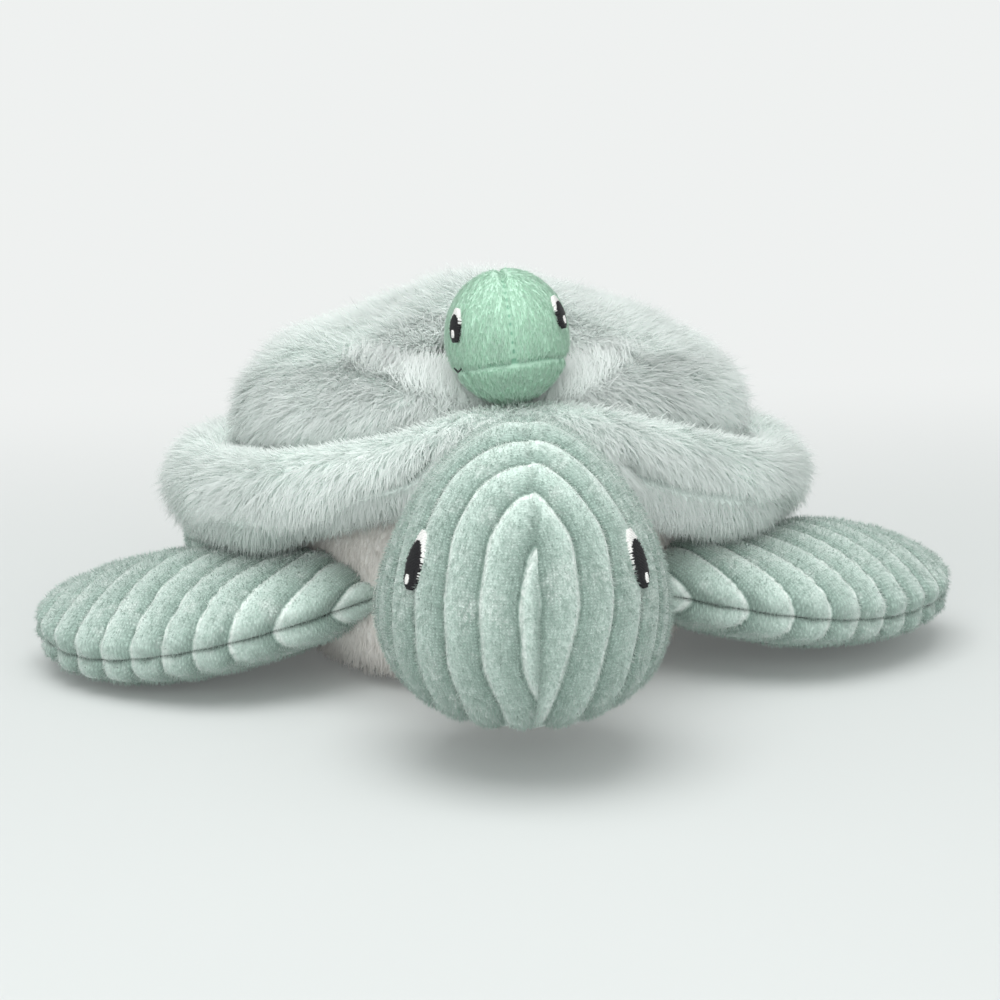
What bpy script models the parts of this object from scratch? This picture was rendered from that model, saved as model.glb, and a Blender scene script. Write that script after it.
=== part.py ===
# Plush sea turtle with a small turtle riding in a pocket of its fur shell.
# The frame: metres, +Z up, the nose toward -Y, the turtle's left side toward +X.
# The origin is the middle of the flat face that the belly rests on.
import math

import bmesh
import bpy
from mathutils import Matrix, Vector

half_turn = math.pi
quarter_turn = math.pi / 2
full_turn = math.pi * 2
up = Vector((0, 0, 1))

# Fits between pieces that touch
seam_gap = 0.0003
seat_gap = 0.0004
filling_gap = 0.0006
socket_gap = 0.0009

# Belly: an oval bowl of white plush, open at the top
belly_half_width = 0.082
belly_half_length = 0.086
belly_centre_y = 0.004
belly_height = 0.057
belly_side_height = 0.028
belly_skin = 0.0025
rest_face_share = 0.66
belly_top_share = 0.97
belly_columns = 32
belly_side_rows = 4

# Shell rim: a fur roll with stuffing, higher and slimmer where it arches over the neck
rim_half_width = 0.106
rim_half_length = 0.095
rim_centre_y = 0.017
rim_side_height = 0.061
rim_front_height = 0.0865
rim_radius = 0.0195
rim_front_radius = 0.017
rim_skin = 0.003
rim_arch_power = 2
rim_open_share = 0.18
rim_columns = 28
rim_section_rows = 8

# Shell dome: fur skin over stuffing, with a hump over the pocket
dome_half_width = 0.102
dome_half_length = 0.091
dome_centre_y = 0.017
dome_waist_height = 0.088
dome_rise = 0.042
dome_power = 2.3
dome_skin = 0.003
dome_base_share = 0.80
dome_skin_low_share = 0.55
hump_rise = 0.012
hump_half_width = 0.034
hump_half_length = 0.075
dome_columns = 32
dome_side_rows = 2
dome_top_rows = 8
shell_base_thickness = 0.0015

# Pocket in the front of the dome, rising toward the front
pocket_tilt = math.radians(12)
pocket_height = 0.110
pocket_half_width = 0.042
pocket_half_height = 0.015
pocket_power = 3
pocket_back = 0.062
pocket_front = 0.110
pocket_skin = 0.0012
pocket_columns = 24

# Neck: a stuffed ball that sits in hollows of the head and of the body
neck_centre = Vector((0, -0.088, 0.040))
neck_radius = 0.023
neck_segments = 20
neck_rings = 12

# Head: egg shaped, narrow at the crown
head_centre = Vector((0, -0.139, 0.054))
head_half_width = 0.0485
head_front_depth = 0.048
head_back_depth = 0.042
head_rise = 0.059
head_drop = 0.0415
head_rise_power = 1.65
head_drop_power = 2.15
head_skin = 0.002
head_chin_lift = math.radians(-68)
# The head rests turned a little to its right, on the neck
head_rest_turn = math.radians(-6)
head_half_columns = 10
head_side_rows = 8
head_chin_rows = 3

# Embroidered eyes: a white oval, a black pupil on it and a white glint on that
thread_height = 0.0006
eye_turn = math.radians(50)
eye_height = 0.0255
eye_half_width = 0.0056
eye_half_height = 0.0102
pupil_half_width = 0.0052
pupil_half_height = 0.0086
pupil_drop = 0.0014
glint_half_width = 0.0011
glint_half_height = 0.0020
glint_drop = 0.0058
eye_columns = 14
eye_ring_count = 2
glint_columns = 8
glint_ring_count = 1

# Front flippers: corduroy top and bottom panels round a stuffing
front_root_turn = math.radians(55)
front_root_height = 0.031
front_lead = 0.034
front_lead_drop = 0.007
front_left_bend_x = 0.134
front_left_bend_y = -0.018
front_left_bend_height = 0.0295
front_left_tip_x = 0.1775
front_left_tip_y = -0.014
front_left_tip_height = 0.0235
front_left_bank = math.radians(9.5)
front_right_bend_x = 0.124
front_right_bend_y = -0.016
front_right_bend_height = 0.022
front_right_tip_x = 0.1725
front_right_tip_y = -0.0135
front_right_tip_height = 0.018
front_right_bank = math.radians(12)
front_half_chord = 0.0410
front_half_thickness = 0.0205
front_root_half_thickness = 0.0115

# Rear flippers: shorter and straighter
rear_root_turn = math.radians(142)
rear_root_height = 0.028
rear_lead = 0.030
rear_lead_drop = 0.004
rear_bend_x = 0.091
rear_bend_y = 0.114
rear_bend_height = 0.013
rear_tip_x = 0.110
rear_tip_y = 0.143
rear_tip_height = 0.010
rear_half_chord = 0.026
rear_half_thickness = 0.012
rear_root_half_thickness = 0.010

flipper_skin = 0.0018
flipper_rows = 9
flipper_half_columns = 6
flipper_floor_gap = 0.0004
flipper_root_chord_share = 0.58
flipper_root_row_share = 0.006
flipper_wide_share = 0.45
flipper_swell_start_share = 0.14
flipper_swell_end_share = 0.70
flipper_tip_power = 2.3

# Baby turtle, measured along the pocket: forward is out of the pocket
baby_body_front = 0.038
baby_body_back = 0.044
baby_body_half_width = 0.027
baby_body_half_height = 0.0122
baby_body_power = 2.3
baby_skin = 0.0012
baby_body_rows = 9
baby_body_half_columns = 8

baby_neck_forward = 0.042
baby_neck_radius = 0.0095
baby_neck_segments = 14
baby_neck_rings = 8

baby_head_forward = 0.0700
baby_head_lift = 0.0070
baby_head_half_width = 0.0225
baby_head_front_depth = 0.026
baby_head_back_depth = 0.024
baby_head_rise = 0.0250
baby_head_drop = 0.0235
baby_head_power = 2.1
baby_head_skin = 0.0012
baby_chin_lift = math.radians(-24)
# The small head rests turned and tipped a little to its right
baby_head_rest_turn = math.radians(-4)
baby_head_rest_roll = math.radians(6)
baby_head_half_columns = 8
baby_head_side_rows = 7
baby_head_chin_rows = 4
mouth_seat_gap = 0.0035

baby_eye_turn = math.radians(57)
baby_eye_height = 0.0075
baby_eye_half_width = 0.0034
baby_eye_half_height = 0.0058
baby_pupil_half_width = 0.0031
baby_pupil_half_height = 0.0047
baby_pupil_drop = 0.0009
baby_glint_half_width = 0.0007
baby_glint_half_height = 0.0012
baby_glint_drop = 0.0030
baby_thread_height = 0.0004
baby_mouth_turn = math.radians(-34)
baby_mouth_drop = 0.0128
baby_mouth_half_width = 0.0019
baby_mouth_half_height = 0.0004

baby_flipper_half_chord = 0.0065
baby_flipper_half_thickness = 0.0035
baby_flipper_root_half_thickness = 0.0028
baby_flipper_lead = 0.006
baby_front_root_share = 0.556
baby_front_bend_reach = 0.0140
baby_front_bend_sweep = -0.002
baby_front_tip_reach = 0.0160
baby_front_tip_sweep = 0.016
baby_rear_root_share = -0.556
baby_rear_bend_reach = 0.0100
baby_rear_bend_sweep = 0.0055
baby_rear_tip_reach = 0.0160
baby_rear_tip_sweep = 0.007
baby_flipper_rows = 7
baby_flipper_half_columns = 5

# Colours as linear values
fur_colour = (0.56, 0.66, 0.61)
cord_colour = (0.41, 0.54, 0.47)
plush_colour = (0.84, 0.80, 0.77)
mint_colour = (0.32, 0.68, 0.47)
lining_colour = (0.62, 0.70, 0.66)
stuffing_colour = (0.88, 0.88, 0.86)
black_colour = (0.012, 0.012, 0.014)
white_colour = (0.90, 0.90, 0.88)


def clear_scene():
    for item in list(bpy.data.objects):
        bpy.data.objects.remove(item, do_unlink=True)
    for mesh in list(bpy.data.meshes):
        bpy.data.meshes.remove(mesh)


def make_material(name, colour, roughness, sheen):
    material = bpy.data.materials.new(name)
    material.use_nodes = True
    shader = material.node_tree.nodes["Principled BSDF"]
    shader.inputs["Base Color"].default_value = (*colour, 1)
    shader.inputs["Roughness"].default_value = roughness
    shader.inputs["Metallic"].default_value = 0
    shader.inputs["Sheen Weight"].default_value = sheen
    material.diffuse_color = (*colour, 1)
    return material


def make_joint(name, place, parent=None):
    # An empty on a joint's axis, which carries the pieces that move there
    joint = bpy.data.objects.new(name, None)
    bpy.context.collection.objects.link(joint)
    if parent is not None:
        joint.parent = parent
        joint.matrix_parent_inverse = Matrix.Translation(-Vector(parent["place"]))
    joint.location = place
    joint["place"] = place
    return joint


def carry(piece, joint):
    piece.parent = joint
    piece.matrix_parent_inverse = Matrix.Translation(-Vector(joint["place"]))
    return piece


def link_mesh(name, shape, material, matrix=None):
    if matrix is not None:
        bmesh.ops.transform(shape, matrix=matrix, verts=shape.verts)
    bmesh.ops.recalc_face_normals(shape, faces=shape.faces)
    mesh = bpy.data.meshes.new(name)
    shape.to_mesh(mesh)
    shape.free()
    mesh.shade_smooth()
    mesh.set_sharp_from_angle(angle=math.radians(50))
    piece = bpy.data.objects.new(name, mesh)
    bpy.context.collection.objects.link(piece)
    if material is not None:
        mesh.materials.append(material)
    return piece


def steps(low, high, count):
    return [low + (high - low) * index / count for index in range(count + 1)]


def superellipse(angle, power):
    # Signed cosine and sine bent toward a fuller or a leaner oval
    cosine = math.cos(angle)
    sine = math.sin(angle)
    along = math.copysign(abs(cosine) ** (2 / power), cosine)
    across = math.copysign(abs(sine) ** (2 / power), sine)
    return along, across


def smooth_step(share):
    share = min(max(share, 0), 1)
    return share * share * (3 - 2 * share)


def add_grid(shape, point, rows, columns, closed, first_pole, last_pole):
    # One row of vertices for each value in rows, or a single vertex at a pole
    grid = []
    for index, row in enumerate(rows):
        is_pole = (first_pole and index == 0) or (last_pole and index == len(rows) - 1)
        if is_pole:
            vertex = shape.verts.new(point(row, columns[0]))
            grid.append([vertex] * len(columns))
        else:
            grid.append([shape.verts.new(point(row, column)) for column in columns])
    width = len(columns)
    spans = width if closed else width - 1
    for low, high in zip(grid, grid[1:]):
        for index in range(spans):
            after = (index + 1) % width
            corners = [low[index], low[after], high[after], high[index]]
            distinct = list(dict.fromkeys(corners))
            shape.faces.new(distinct)
    return grid


def bridge(shape, first, second, closed):
    width = len(first)
    spans = width if closed else width - 1
    for index in range(spans):
        after = (index + 1) % width
        corners = [first[index], second[index], second[after], first[after]]
        distinct = list(dict.fromkeys(corners))
        if len(distinct) > 2:
            shape.faces.new(distinct)


def skin(name, material, surface, rows, columns, inset, closed=False,
         first_pole=False, last_pole=False, matrix=None):
    # A panel of fabric: the outer surface, the inner one and the cut edges between
    shape = bmesh.new()
    outer = add_grid(shape, lambda row, column: surface(row, column, 0),
                     rows, columns, closed, first_pole, last_pole)
    inner = add_grid(shape, lambda row, column: surface(row, column, inset),
                     rows, columns, closed, first_pole, last_pole)
    if not first_pole:
        bridge(shape, outer[0], inner[0], closed)
    if not last_pole:
        bridge(shape, outer[-1], inner[-1], closed)
    if not closed:
        bridge(shape, [row[0] for row in outer], [row[0] for row in inner], False)
        bridge(shape, [row[-1] for row in outer], [row[-1] for row in inner], False)
    return link_mesh(name, shape, material, matrix)


def solid(name, material, surface, rows, columns, inset,
          first_pole=True, last_pole=True, matrix=None):
    # A closed form: stuffing, or a cutter of the same outline
    shape = bmesh.new()
    grid = add_grid(shape, lambda row, column: surface(row, column, inset),
                    rows, columns, True, first_pole, last_pole)
    if not first_pole:
        shape.faces.new(grid[0])
    if not last_pole:
        shape.faces.new(grid[-1])
    return link_mesh(name, shape, material, matrix)


def ball(name, material, centre, radius, segments, rings):
    shape = bmesh.new()
    bmesh.ops.create_uvsphere(shape, u_segments=segments, v_segments=rings, radius=radius)
    return link_mesh(name, shape, material, Matrix.Translation(centre))


def as_cutter(piece):
    piece.hide_render = True
    piece.display_type = "WIRE"
    return piece


def turned_about(centre, rotation):
    return Matrix.Translation(centre) @ rotation @ Matrix.Translation(-centre)


def cut(piece, cutter, operation="DIFFERENCE"):
    modifier = piece.modifiers.new("cut_" + cutter.name, "BOOLEAN")
    modifier.operation = operation
    modifier.solver = "EXACT"
    modifier.object = cutter


# Belly


def belly_wall(turn, height):
    # The point of the belly's side at an angle round from the front
    below = max(1 - height / belly_side_height, 0)
    share = rest_face_share + (1 - rest_face_share) * (1 - below ** 2) ** 0.5
    return Vector((belly_half_width * share * math.sin(turn),
                   belly_centre_y - belly_half_length * share * math.cos(turn), height))


def belly_outward(turn):
    return Vector((math.sin(turn) / belly_half_width,
                   -math.cos(turn) / belly_half_length, 0)).normalized()


def belly_profile(step):
    # Share of the outline and height, from the middle of the rest face to the open edge
    if step <= 1:
        return rest_face_share * step, 0
    if step <= 2:
        along, across = superellipse((step - 1) * quarter_turn, 2)
        share = rest_face_share + (1 - rest_face_share) * across
        return share, belly_side_height * (1 - along)
    rest = step - 2
    share = 1 + (belly_top_share - 1) * rest * rest
    return share, belly_side_height + (belly_height - belly_side_height) * rest


def belly_surface(step, turn, inset):
    share, height = belly_profile(step)
    width = (belly_half_width - inset) * share
    length = (belly_half_length - inset) * share
    rise = inset + height * (belly_height - inset) / belly_height
    return Vector((width * math.sin(turn), belly_centre_y - length * math.cos(turn), rise))


def make_belly(materials, neck_cutter):
    turns = steps(0, full_turn, belly_columns)[:-1]
    rows = [0, 1] + steps(1, 2, belly_side_rows)[1:] + steps(2, 3, 2)[1:]
    panel = skin("belly_panel", materials["plush"], belly_surface, rows, turns, belly_skin,
                 closed=True, first_pole=True)
    cut(panel, neck_cutter)

    def filling_surface(step, turn, inset):
        point = belly_surface(step, turn, inset)
        point.z = min(point.z, belly_height - seam_gap)
        return point

    filling = solid("body_filling", materials["stuffing"], filling_surface, rows, turns,
                    belly_skin + filling_gap, last_pole=False)
    cut(filling, neck_cutter)
    return panel, filling


# Rim


def rim_frame(turn):
    lift = max(math.cos(turn), 0) ** rim_arch_power
    radius = rim_radius + (rim_front_radius - rim_radius) * lift
    height = rim_side_height + (rim_front_height - rim_side_height) * lift
    centre = Vector((rim_half_width * math.sin(turn),
                     rim_centre_y - rim_half_length * math.cos(turn), height))
    outward = Vector((math.sin(turn) / rim_half_width,
                      -math.cos(turn) / rim_half_length, 0)).normalized()
    return centre, outward, radius


def rim_surface(turn, angle, inset):
    centre, outward, radius = rim_frame(turn)
    reach = radius - inset
    return centre + outward * reach * math.cos(angle) + up * reach * math.sin(angle)


def closed_roll(name, material, turns, angles, inset):
    shape = bmesh.new()
    rings = []
    for turn in turns:
        rings.append([shape.verts.new(rim_surface(turn, angle, inset)) for angle in angles])
    for low, high in zip(rings, rings[1:] + rings[:1]):
        bridge(shape, low, high, True)
    return link_mesh(name, shape, material)


def make_rim(materials):
    # The fur tube is open along its inner side, where it is sewn to the body
    turns = steps(0, full_turn, rim_columns)[:-1]
    open_half = half_turn * rim_open_share
    angles = steps(half_turn + open_half, half_turn * 3 - open_half, rim_section_rows)
    shape = bmesh.new()
    outer = []
    inner = []
    for turn in turns:
        outer.append([shape.verts.new(rim_surface(turn, angle, 0)) for angle in angles])
        inner.append([shape.verts.new(rim_surface(turn, angle, rim_skin)) for angle in angles])
    for index in range(len(turns)):
        after = (index + 1) % len(turns)
        bridge(shape, outer[index], outer[after], False)
        bridge(shape, inner[after], inner[index], False)
        for edge in (0, -1):
            shape.faces.new([outer[index][edge], outer[after][edge],
                             inner[after][edge], inner[index][edge]])
    rim = link_mesh("shell_rim", shape, materials["fur"])
    filling = closed_roll("rim_filling", materials["stuffing"], turns, angles,
                          rim_skin + filling_gap)
    cutter = as_cutter(closed_roll("rim_cutter", None, turns,
                                   steps(0, full_turn, rim_section_rows + 2)[:-1],
                                   -seat_gap * 2))
    return rim, filling, cutter


# Dome and pocket


def pocket_matrix():
    # Forward along the pocket is -Y here, and height is +Z
    return Matrix.Translation((0, 0, pocket_height)) @ Matrix.Rotation(-pocket_tilt, 4, "X")


def dome_surface(step, turn, inset):
    # Steps 0 to 1 climb the tucked-in side, 1 to 2 close over the top
    base = belly_height + seam_gap + shell_base_thickness + seam_gap
    width = dome_half_width - inset
    length = dome_half_length - inset
    if step <= 1:
        share = 1 - (1 - dome_base_share) * (1 - step) ** 2
        height = base + (dome_waist_height - base) * step
    else:
        share, rise = superellipse((step - 1) * quarter_turn, dome_power)
        height = dome_waist_height + (dome_rise - inset) * rise
    across = width * share * math.sin(turn)
    along = dome_centre_y - length * share * math.cos(turn)
    if step > 1:
        fade = math.exp(-(across / hump_half_width) ** 2 - (along / hump_half_length) ** 4)
        height += hump_rise * fade * rise
    return Vector((across, along, height))


def pocket_section(angle, inset):
    across, high = superellipse(angle, pocket_power)
    return (pocket_half_width - inset) * across, (pocket_half_height - inset) * high


def pocket_surface(forward, angle, inset):
    across, high = pocket_section(angle, inset)
    return Vector((across, -forward, high))


def make_shell(materials, rim_cutter, neck_cutter, mouth_cutter):
    turns = steps(0, full_turn, dome_columns)[:-1]
    rows = steps(0, 1, dome_side_rows) + steps(1, 2, dome_top_rows)[1:]
    base_low = belly_height + seam_gap
    base_high = base_low + shell_base_thickness

    def base_surface(level, turn, inset):
        reach = belly_top_share
        return Vector((belly_half_width * reach * math.sin(turn),
                       belly_centre_y - belly_half_length * reach * math.cos(turn), level))

    base = solid("shell_base", materials["lining"], base_surface, [base_low, base_high],
                 turns, 0, first_pole=False, last_pole=False)
    skin_rows = steps(dome_skin_low_share, 1, dome_side_rows) + rows[dome_side_rows + 1:]
    dome = skin("shell_dome", materials["fur"], dome_surface, skin_rows, turns, dome_skin,
                closed=True, last_pole=True)
    filling = solid("shell_filling", materials["stuffing"], dome_surface, rows, turns,
                    dome_skin + filling_gap, first_pole=False)

    angles = steps(0, full_turn, pocket_columns)[:-1]
    place = pocket_matrix()
    hole = as_cutter(solid("pocket_hole", None, pocket_surface,
                           [-pocket_back, pocket_front], angles, 0,
                           first_pole=False, last_pole=False, matrix=place))
    outline = as_cutter(solid("dome_outline", None, dome_surface, rows, turns, 0,
                              first_pole=False))
    lining_shape = bmesh.new()
    back = -pocket_back + seam_gap
    front = pocket_front - seam_gap
    outer = add_grid(lining_shape,
                     lambda row, column: pocket_surface(row, column, seam_gap),
                     [back, front], angles, True, False, False)
    inner = add_grid(lining_shape,
                     lambda row, column: pocket_surface(row, column, seam_gap + pocket_skin),
                     [back + pocket_skin, front], angles, True, False, False)
    lining_shape.faces.new(outer[0])
    lining_shape.faces.new(inner[0])
    bridge(lining_shape, outer[-1], inner[-1], True)
    lining = link_mesh("pocket_lining", lining_shape, materials["lining"], place)
    cut(lining, outline, "INTERSECT")
    cut(lining, mouth_cutter)
    for piece in (dome, filling):
        cut(piece, mouth_cutter)
        cut(piece, rim_cutter)
        cut(piece, hole)
    cut(filling, neck_cutter)
    cut(base, rim_cutter)
    cut(base, neck_cutter)
    return base, dome, filling, lining


# Heads


def egg(centre, half_width, front_depth, back_depth, rise, drop, rise_power, drop_power):
    # Lift runs from the lowest point up to the crown, turn from the nose toward +X
    def surface(lift, turn, inset):
        power = rise_power if lift > 0 else drop_power
        reach, climb = superellipse(lift, power)
        height = (rise - inset if lift > 0 else drop - inset) * climb
        depth = (front_depth if math.cos(turn) > 0 else back_depth) - inset
        width = half_width - inset
        return centre + Vector((width * reach * math.sin(turn),
                                -depth * reach * math.cos(turn), height))
    return surface


def shifted(surface, offset):
    return lambda row, column, inset: surface(row, column, inset) + offset


def make_head(prefix, material, filling_material, surface, chin_lift, side_rows, chin_rows,
              half_columns, thickness, matrix=None):
    low = steps(-quarter_turn, chin_lift, chin_rows)
    high = steps(chin_lift, quarter_turn, side_rows)
    around = steps(0, full_turn, half_columns * 2)[:-1]
    half = seam_gap / 2
    pieces = []
    for side, word in ((1, "left"), (-1, "right")):
        columns = [side * turn for turn in steps(0, half_turn, half_columns)]
        offset = Vector((side * half, 0, half))
        pieces.append(skin(prefix + "head_panel_" + word, material, shifted(surface, offset),
                           high, columns, thickness, last_pole=True, matrix=matrix))
    pieces.append(skin(prefix + "chin_panel", material, shifted(surface, Vector((0, 0, -half))),
                       low, around, thickness, closed=True, first_pole=True, matrix=matrix))
    pieces.append(solid(prefix + "head_filling", filling_material, surface,
                        low + high[1:], around, thickness + filling_gap, matrix=matrix))
    return pieces


def stitched_patch(name, material, surface, lift, turn, half_height, half_width,
                   low, thickness, tall, wide, columns, rows, matrix=None):
    # An oval of satin stitch that lies on a curved surface
    def patch_surface(share, angle, inset):
        new_lift = lift + share * half_height * math.sin(angle) / tall
        new_turn = turn + share * half_width * math.cos(angle) / wide
        return surface(new_lift, new_turn, inset - low - thickness)
    angles = steps(0, full_turn, columns)[:-1]
    return skin(name, material, patch_surface, steps(0, 1, rows), angles, thickness,
                closed=True, first_pole=True, matrix=matrix)


def make_eyes(prefix, materials, surface, turn, height, drop_pupil, drop_glint, white, pupil,
              glint, thread, tall, wide, matrix=None):
    pieces = []
    for side, word in ((1, "left"), (-1, "right")):
        angle = side * turn
        layers = (("eye_white_", "white", white, 0, 0),
                  ("eye_pupil_", "black", pupil, drop_pupil, 1),
                  ("eye_glint_", "white", glint, drop_glint, 2))
        for part, colour, size, drop, level in layers:
            low = seam_gap + level * (thread + seam_gap)
            columns = glint_columns if level == 2 else eye_columns
            rows = glint_ring_count if level == 2 else eye_ring_count
            lift = math.asin((height - drop) / tall)
            pieces.append(stitched_patch(prefix + part + word, materials[colour], surface,
                                         lift, angle, size[1], size[0], low, thread,
                                         tall, wide, columns, rows, matrix))
    return pieces


# Flippers


def bezier(points, share):
    rest = 1 - share
    first, second, third, last = points
    return (first * rest ** 3 + second * 3 * rest * rest * share
            + third * 3 * rest * share * share + last * share ** 3)


def bezier_slope(points, share):
    rest = 1 - share
    first, second, third, last = points
    return ((second - first) * rest * rest + (third - second) * 2 * rest * share
            + (last - third) * share * share).normalized()


def flipper(points, half_chord, half_thickness, root_half_thickness, lowest, bank=0):
    # Along runs from the sewn root to the tip, angle round the section from the leading edge
    length = sum((bezier(points, share) - bezier(points, share - 0.1)).length
                 for share in steps(0.1, 1, 9))

    def surface(along, angle, inset):
        centre = bezier(points, along)
        slope = bezier_slope(points, along)
        side = slope.cross(up).normalized()
        toward_tip = max((along - flipper_wide_share) / (1 - flipper_wide_share), 0)
        widen = smooth_step(along / flipper_wide_share)
        chord = half_chord * (flipper_root_chord_share + (1 - flipper_root_chord_share) * widen)
        chord *= (1 - toward_tip ** flipper_tip_power) ** (1 / flipper_tip_power)
        swell = smooth_step((along - flipper_swell_start_share)
                            / (flipper_swell_end_share - flipper_swell_start_share))
        thick = root_half_thickness + (half_thickness - root_half_thickness) * swell
        thick *= (1 - toward_tip ** 2) ** 0.5
        from_root = along * length
        if from_root < root_half_thickness:
            thick *= (1 - (1 - from_root / root_half_thickness) ** 2) ** 0.5
        middle = bezier(points, 0.5)
        shrink = 1 - inset * 2 / length
        centre = middle + (centre - middle) * shrink
        across = chord * (1 - inset / half_chord) * math.cos(angle)
        high = thick * (1 - inset / half_thickness) * math.sin(angle)
        # The trailing edge lies higher than the leading edge by the bank
        lean = bank * swell
        edge = side * math.cos(lean) - up * math.sin(lean)
        crown = up * math.cos(lean) + side * math.sin(lean)
        point = centre + edge * across + crown * high
        if lowest is not None:
            point.z = max(point.z, lowest + inset)
        return point
    return surface


def flipper_points(side, root_turn, root_height, lead, lead_drop, bend, tip):
    outward = belly_outward(root_turn)
    root = belly_wall(root_turn, root_height) + outward * seat_gap
    second = root + outward * lead - up * lead_drop
    points = [root, second, Vector(bend), Vector(tip)]
    mirror = Vector((side, 1, 1))
    return [point * mirror for point in points], outward * mirror


def make_flipper(name, materials, surface):
    rows = [0.5 - 0.5 * math.cos(value) for value in steps(0, half_turn, flipper_rows)]
    half = up * (seam_gap / 2)
    top = skin(name + "_top_panel", materials["cord"], shifted(surface, half), rows,
               steps(0, half_turn, flipper_half_columns), flipper_skin, last_pole=True)
    bottom = skin(name + "_bottom_panel", materials["cord"], shifted(surface, -half), rows,
                  steps(half_turn, full_turn, flipper_half_columns), flipper_skin,
                  last_pole=True)
    around = steps(0, full_turn, flipper_half_columns * 2)[:-1]
    filling = solid(name + "_filling", materials["stuffing"], surface, rows[1:], around,
                    flipper_skin + filling_gap, first_pole=False)
    return top, bottom, filling


# Baby turtle


def baby_body_surface(along, angle, inset):
    # Along is -1 at the tail and 1 at the neck
    share = abs(math.cos(along * quarter_turn))
    reach = math.copysign(abs(math.sin(along * quarter_turn)) ** (2 / baby_body_power), along)
    width = share ** (2 / baby_body_power)
    length = baby_body_front if along > 0 else baby_body_back
    across, high = superellipse(angle, 2)
    return Vector(((baby_body_half_width - inset) * width * across,
                   -(length - inset) * reach,
                   (baby_body_half_height - inset) * width * high))


def make_baby_body(materials, matrix, neck_cutter):
    rows = steps(-1, 1, baby_body_rows * 2)[::2]
    half = up * (seam_gap / 2)
    top = skin("baby_shell_panel", materials["mint"], shifted(baby_body_surface, half), rows,
               steps(0, half_turn, baby_body_half_columns), baby_skin,
               first_pole=True, last_pole=True, matrix=matrix)
    bottom = skin("baby_belly_panel", materials["mint"], shifted(baby_body_surface, -half),
                  rows, steps(half_turn, full_turn, baby_body_half_columns), baby_skin,
                  first_pole=True, last_pole=True, matrix=matrix)
    around = steps(0, full_turn, baby_body_half_columns * 2)[:-1]
    filling = solid("baby_body_filling", materials["stuffing"], baby_body_surface, rows,
                    around, baby_skin + filling_gap, matrix=matrix)
    for piece in (top, bottom, filling):
        cut(piece, neck_cutter)
    return top, bottom, filling


def baby_flipper_points(side, root_share, bend, tip):
    wall = baby_body_surface(root_share, 0, 0)
    length = baby_body_front if root_share > 0 else baby_body_back
    outward = Vector((wall.x / baby_body_half_width ** 2, wall.y / length ** 2, 0)).normalized()
    root = wall + outward * seat_gap
    points = [root, root + outward * baby_flipper_lead, root + Vector(bend), root + Vector(tip)]
    mirror = Vector((side, 1, 1))
    return [point * mirror for point in points], outward * mirror


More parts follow.
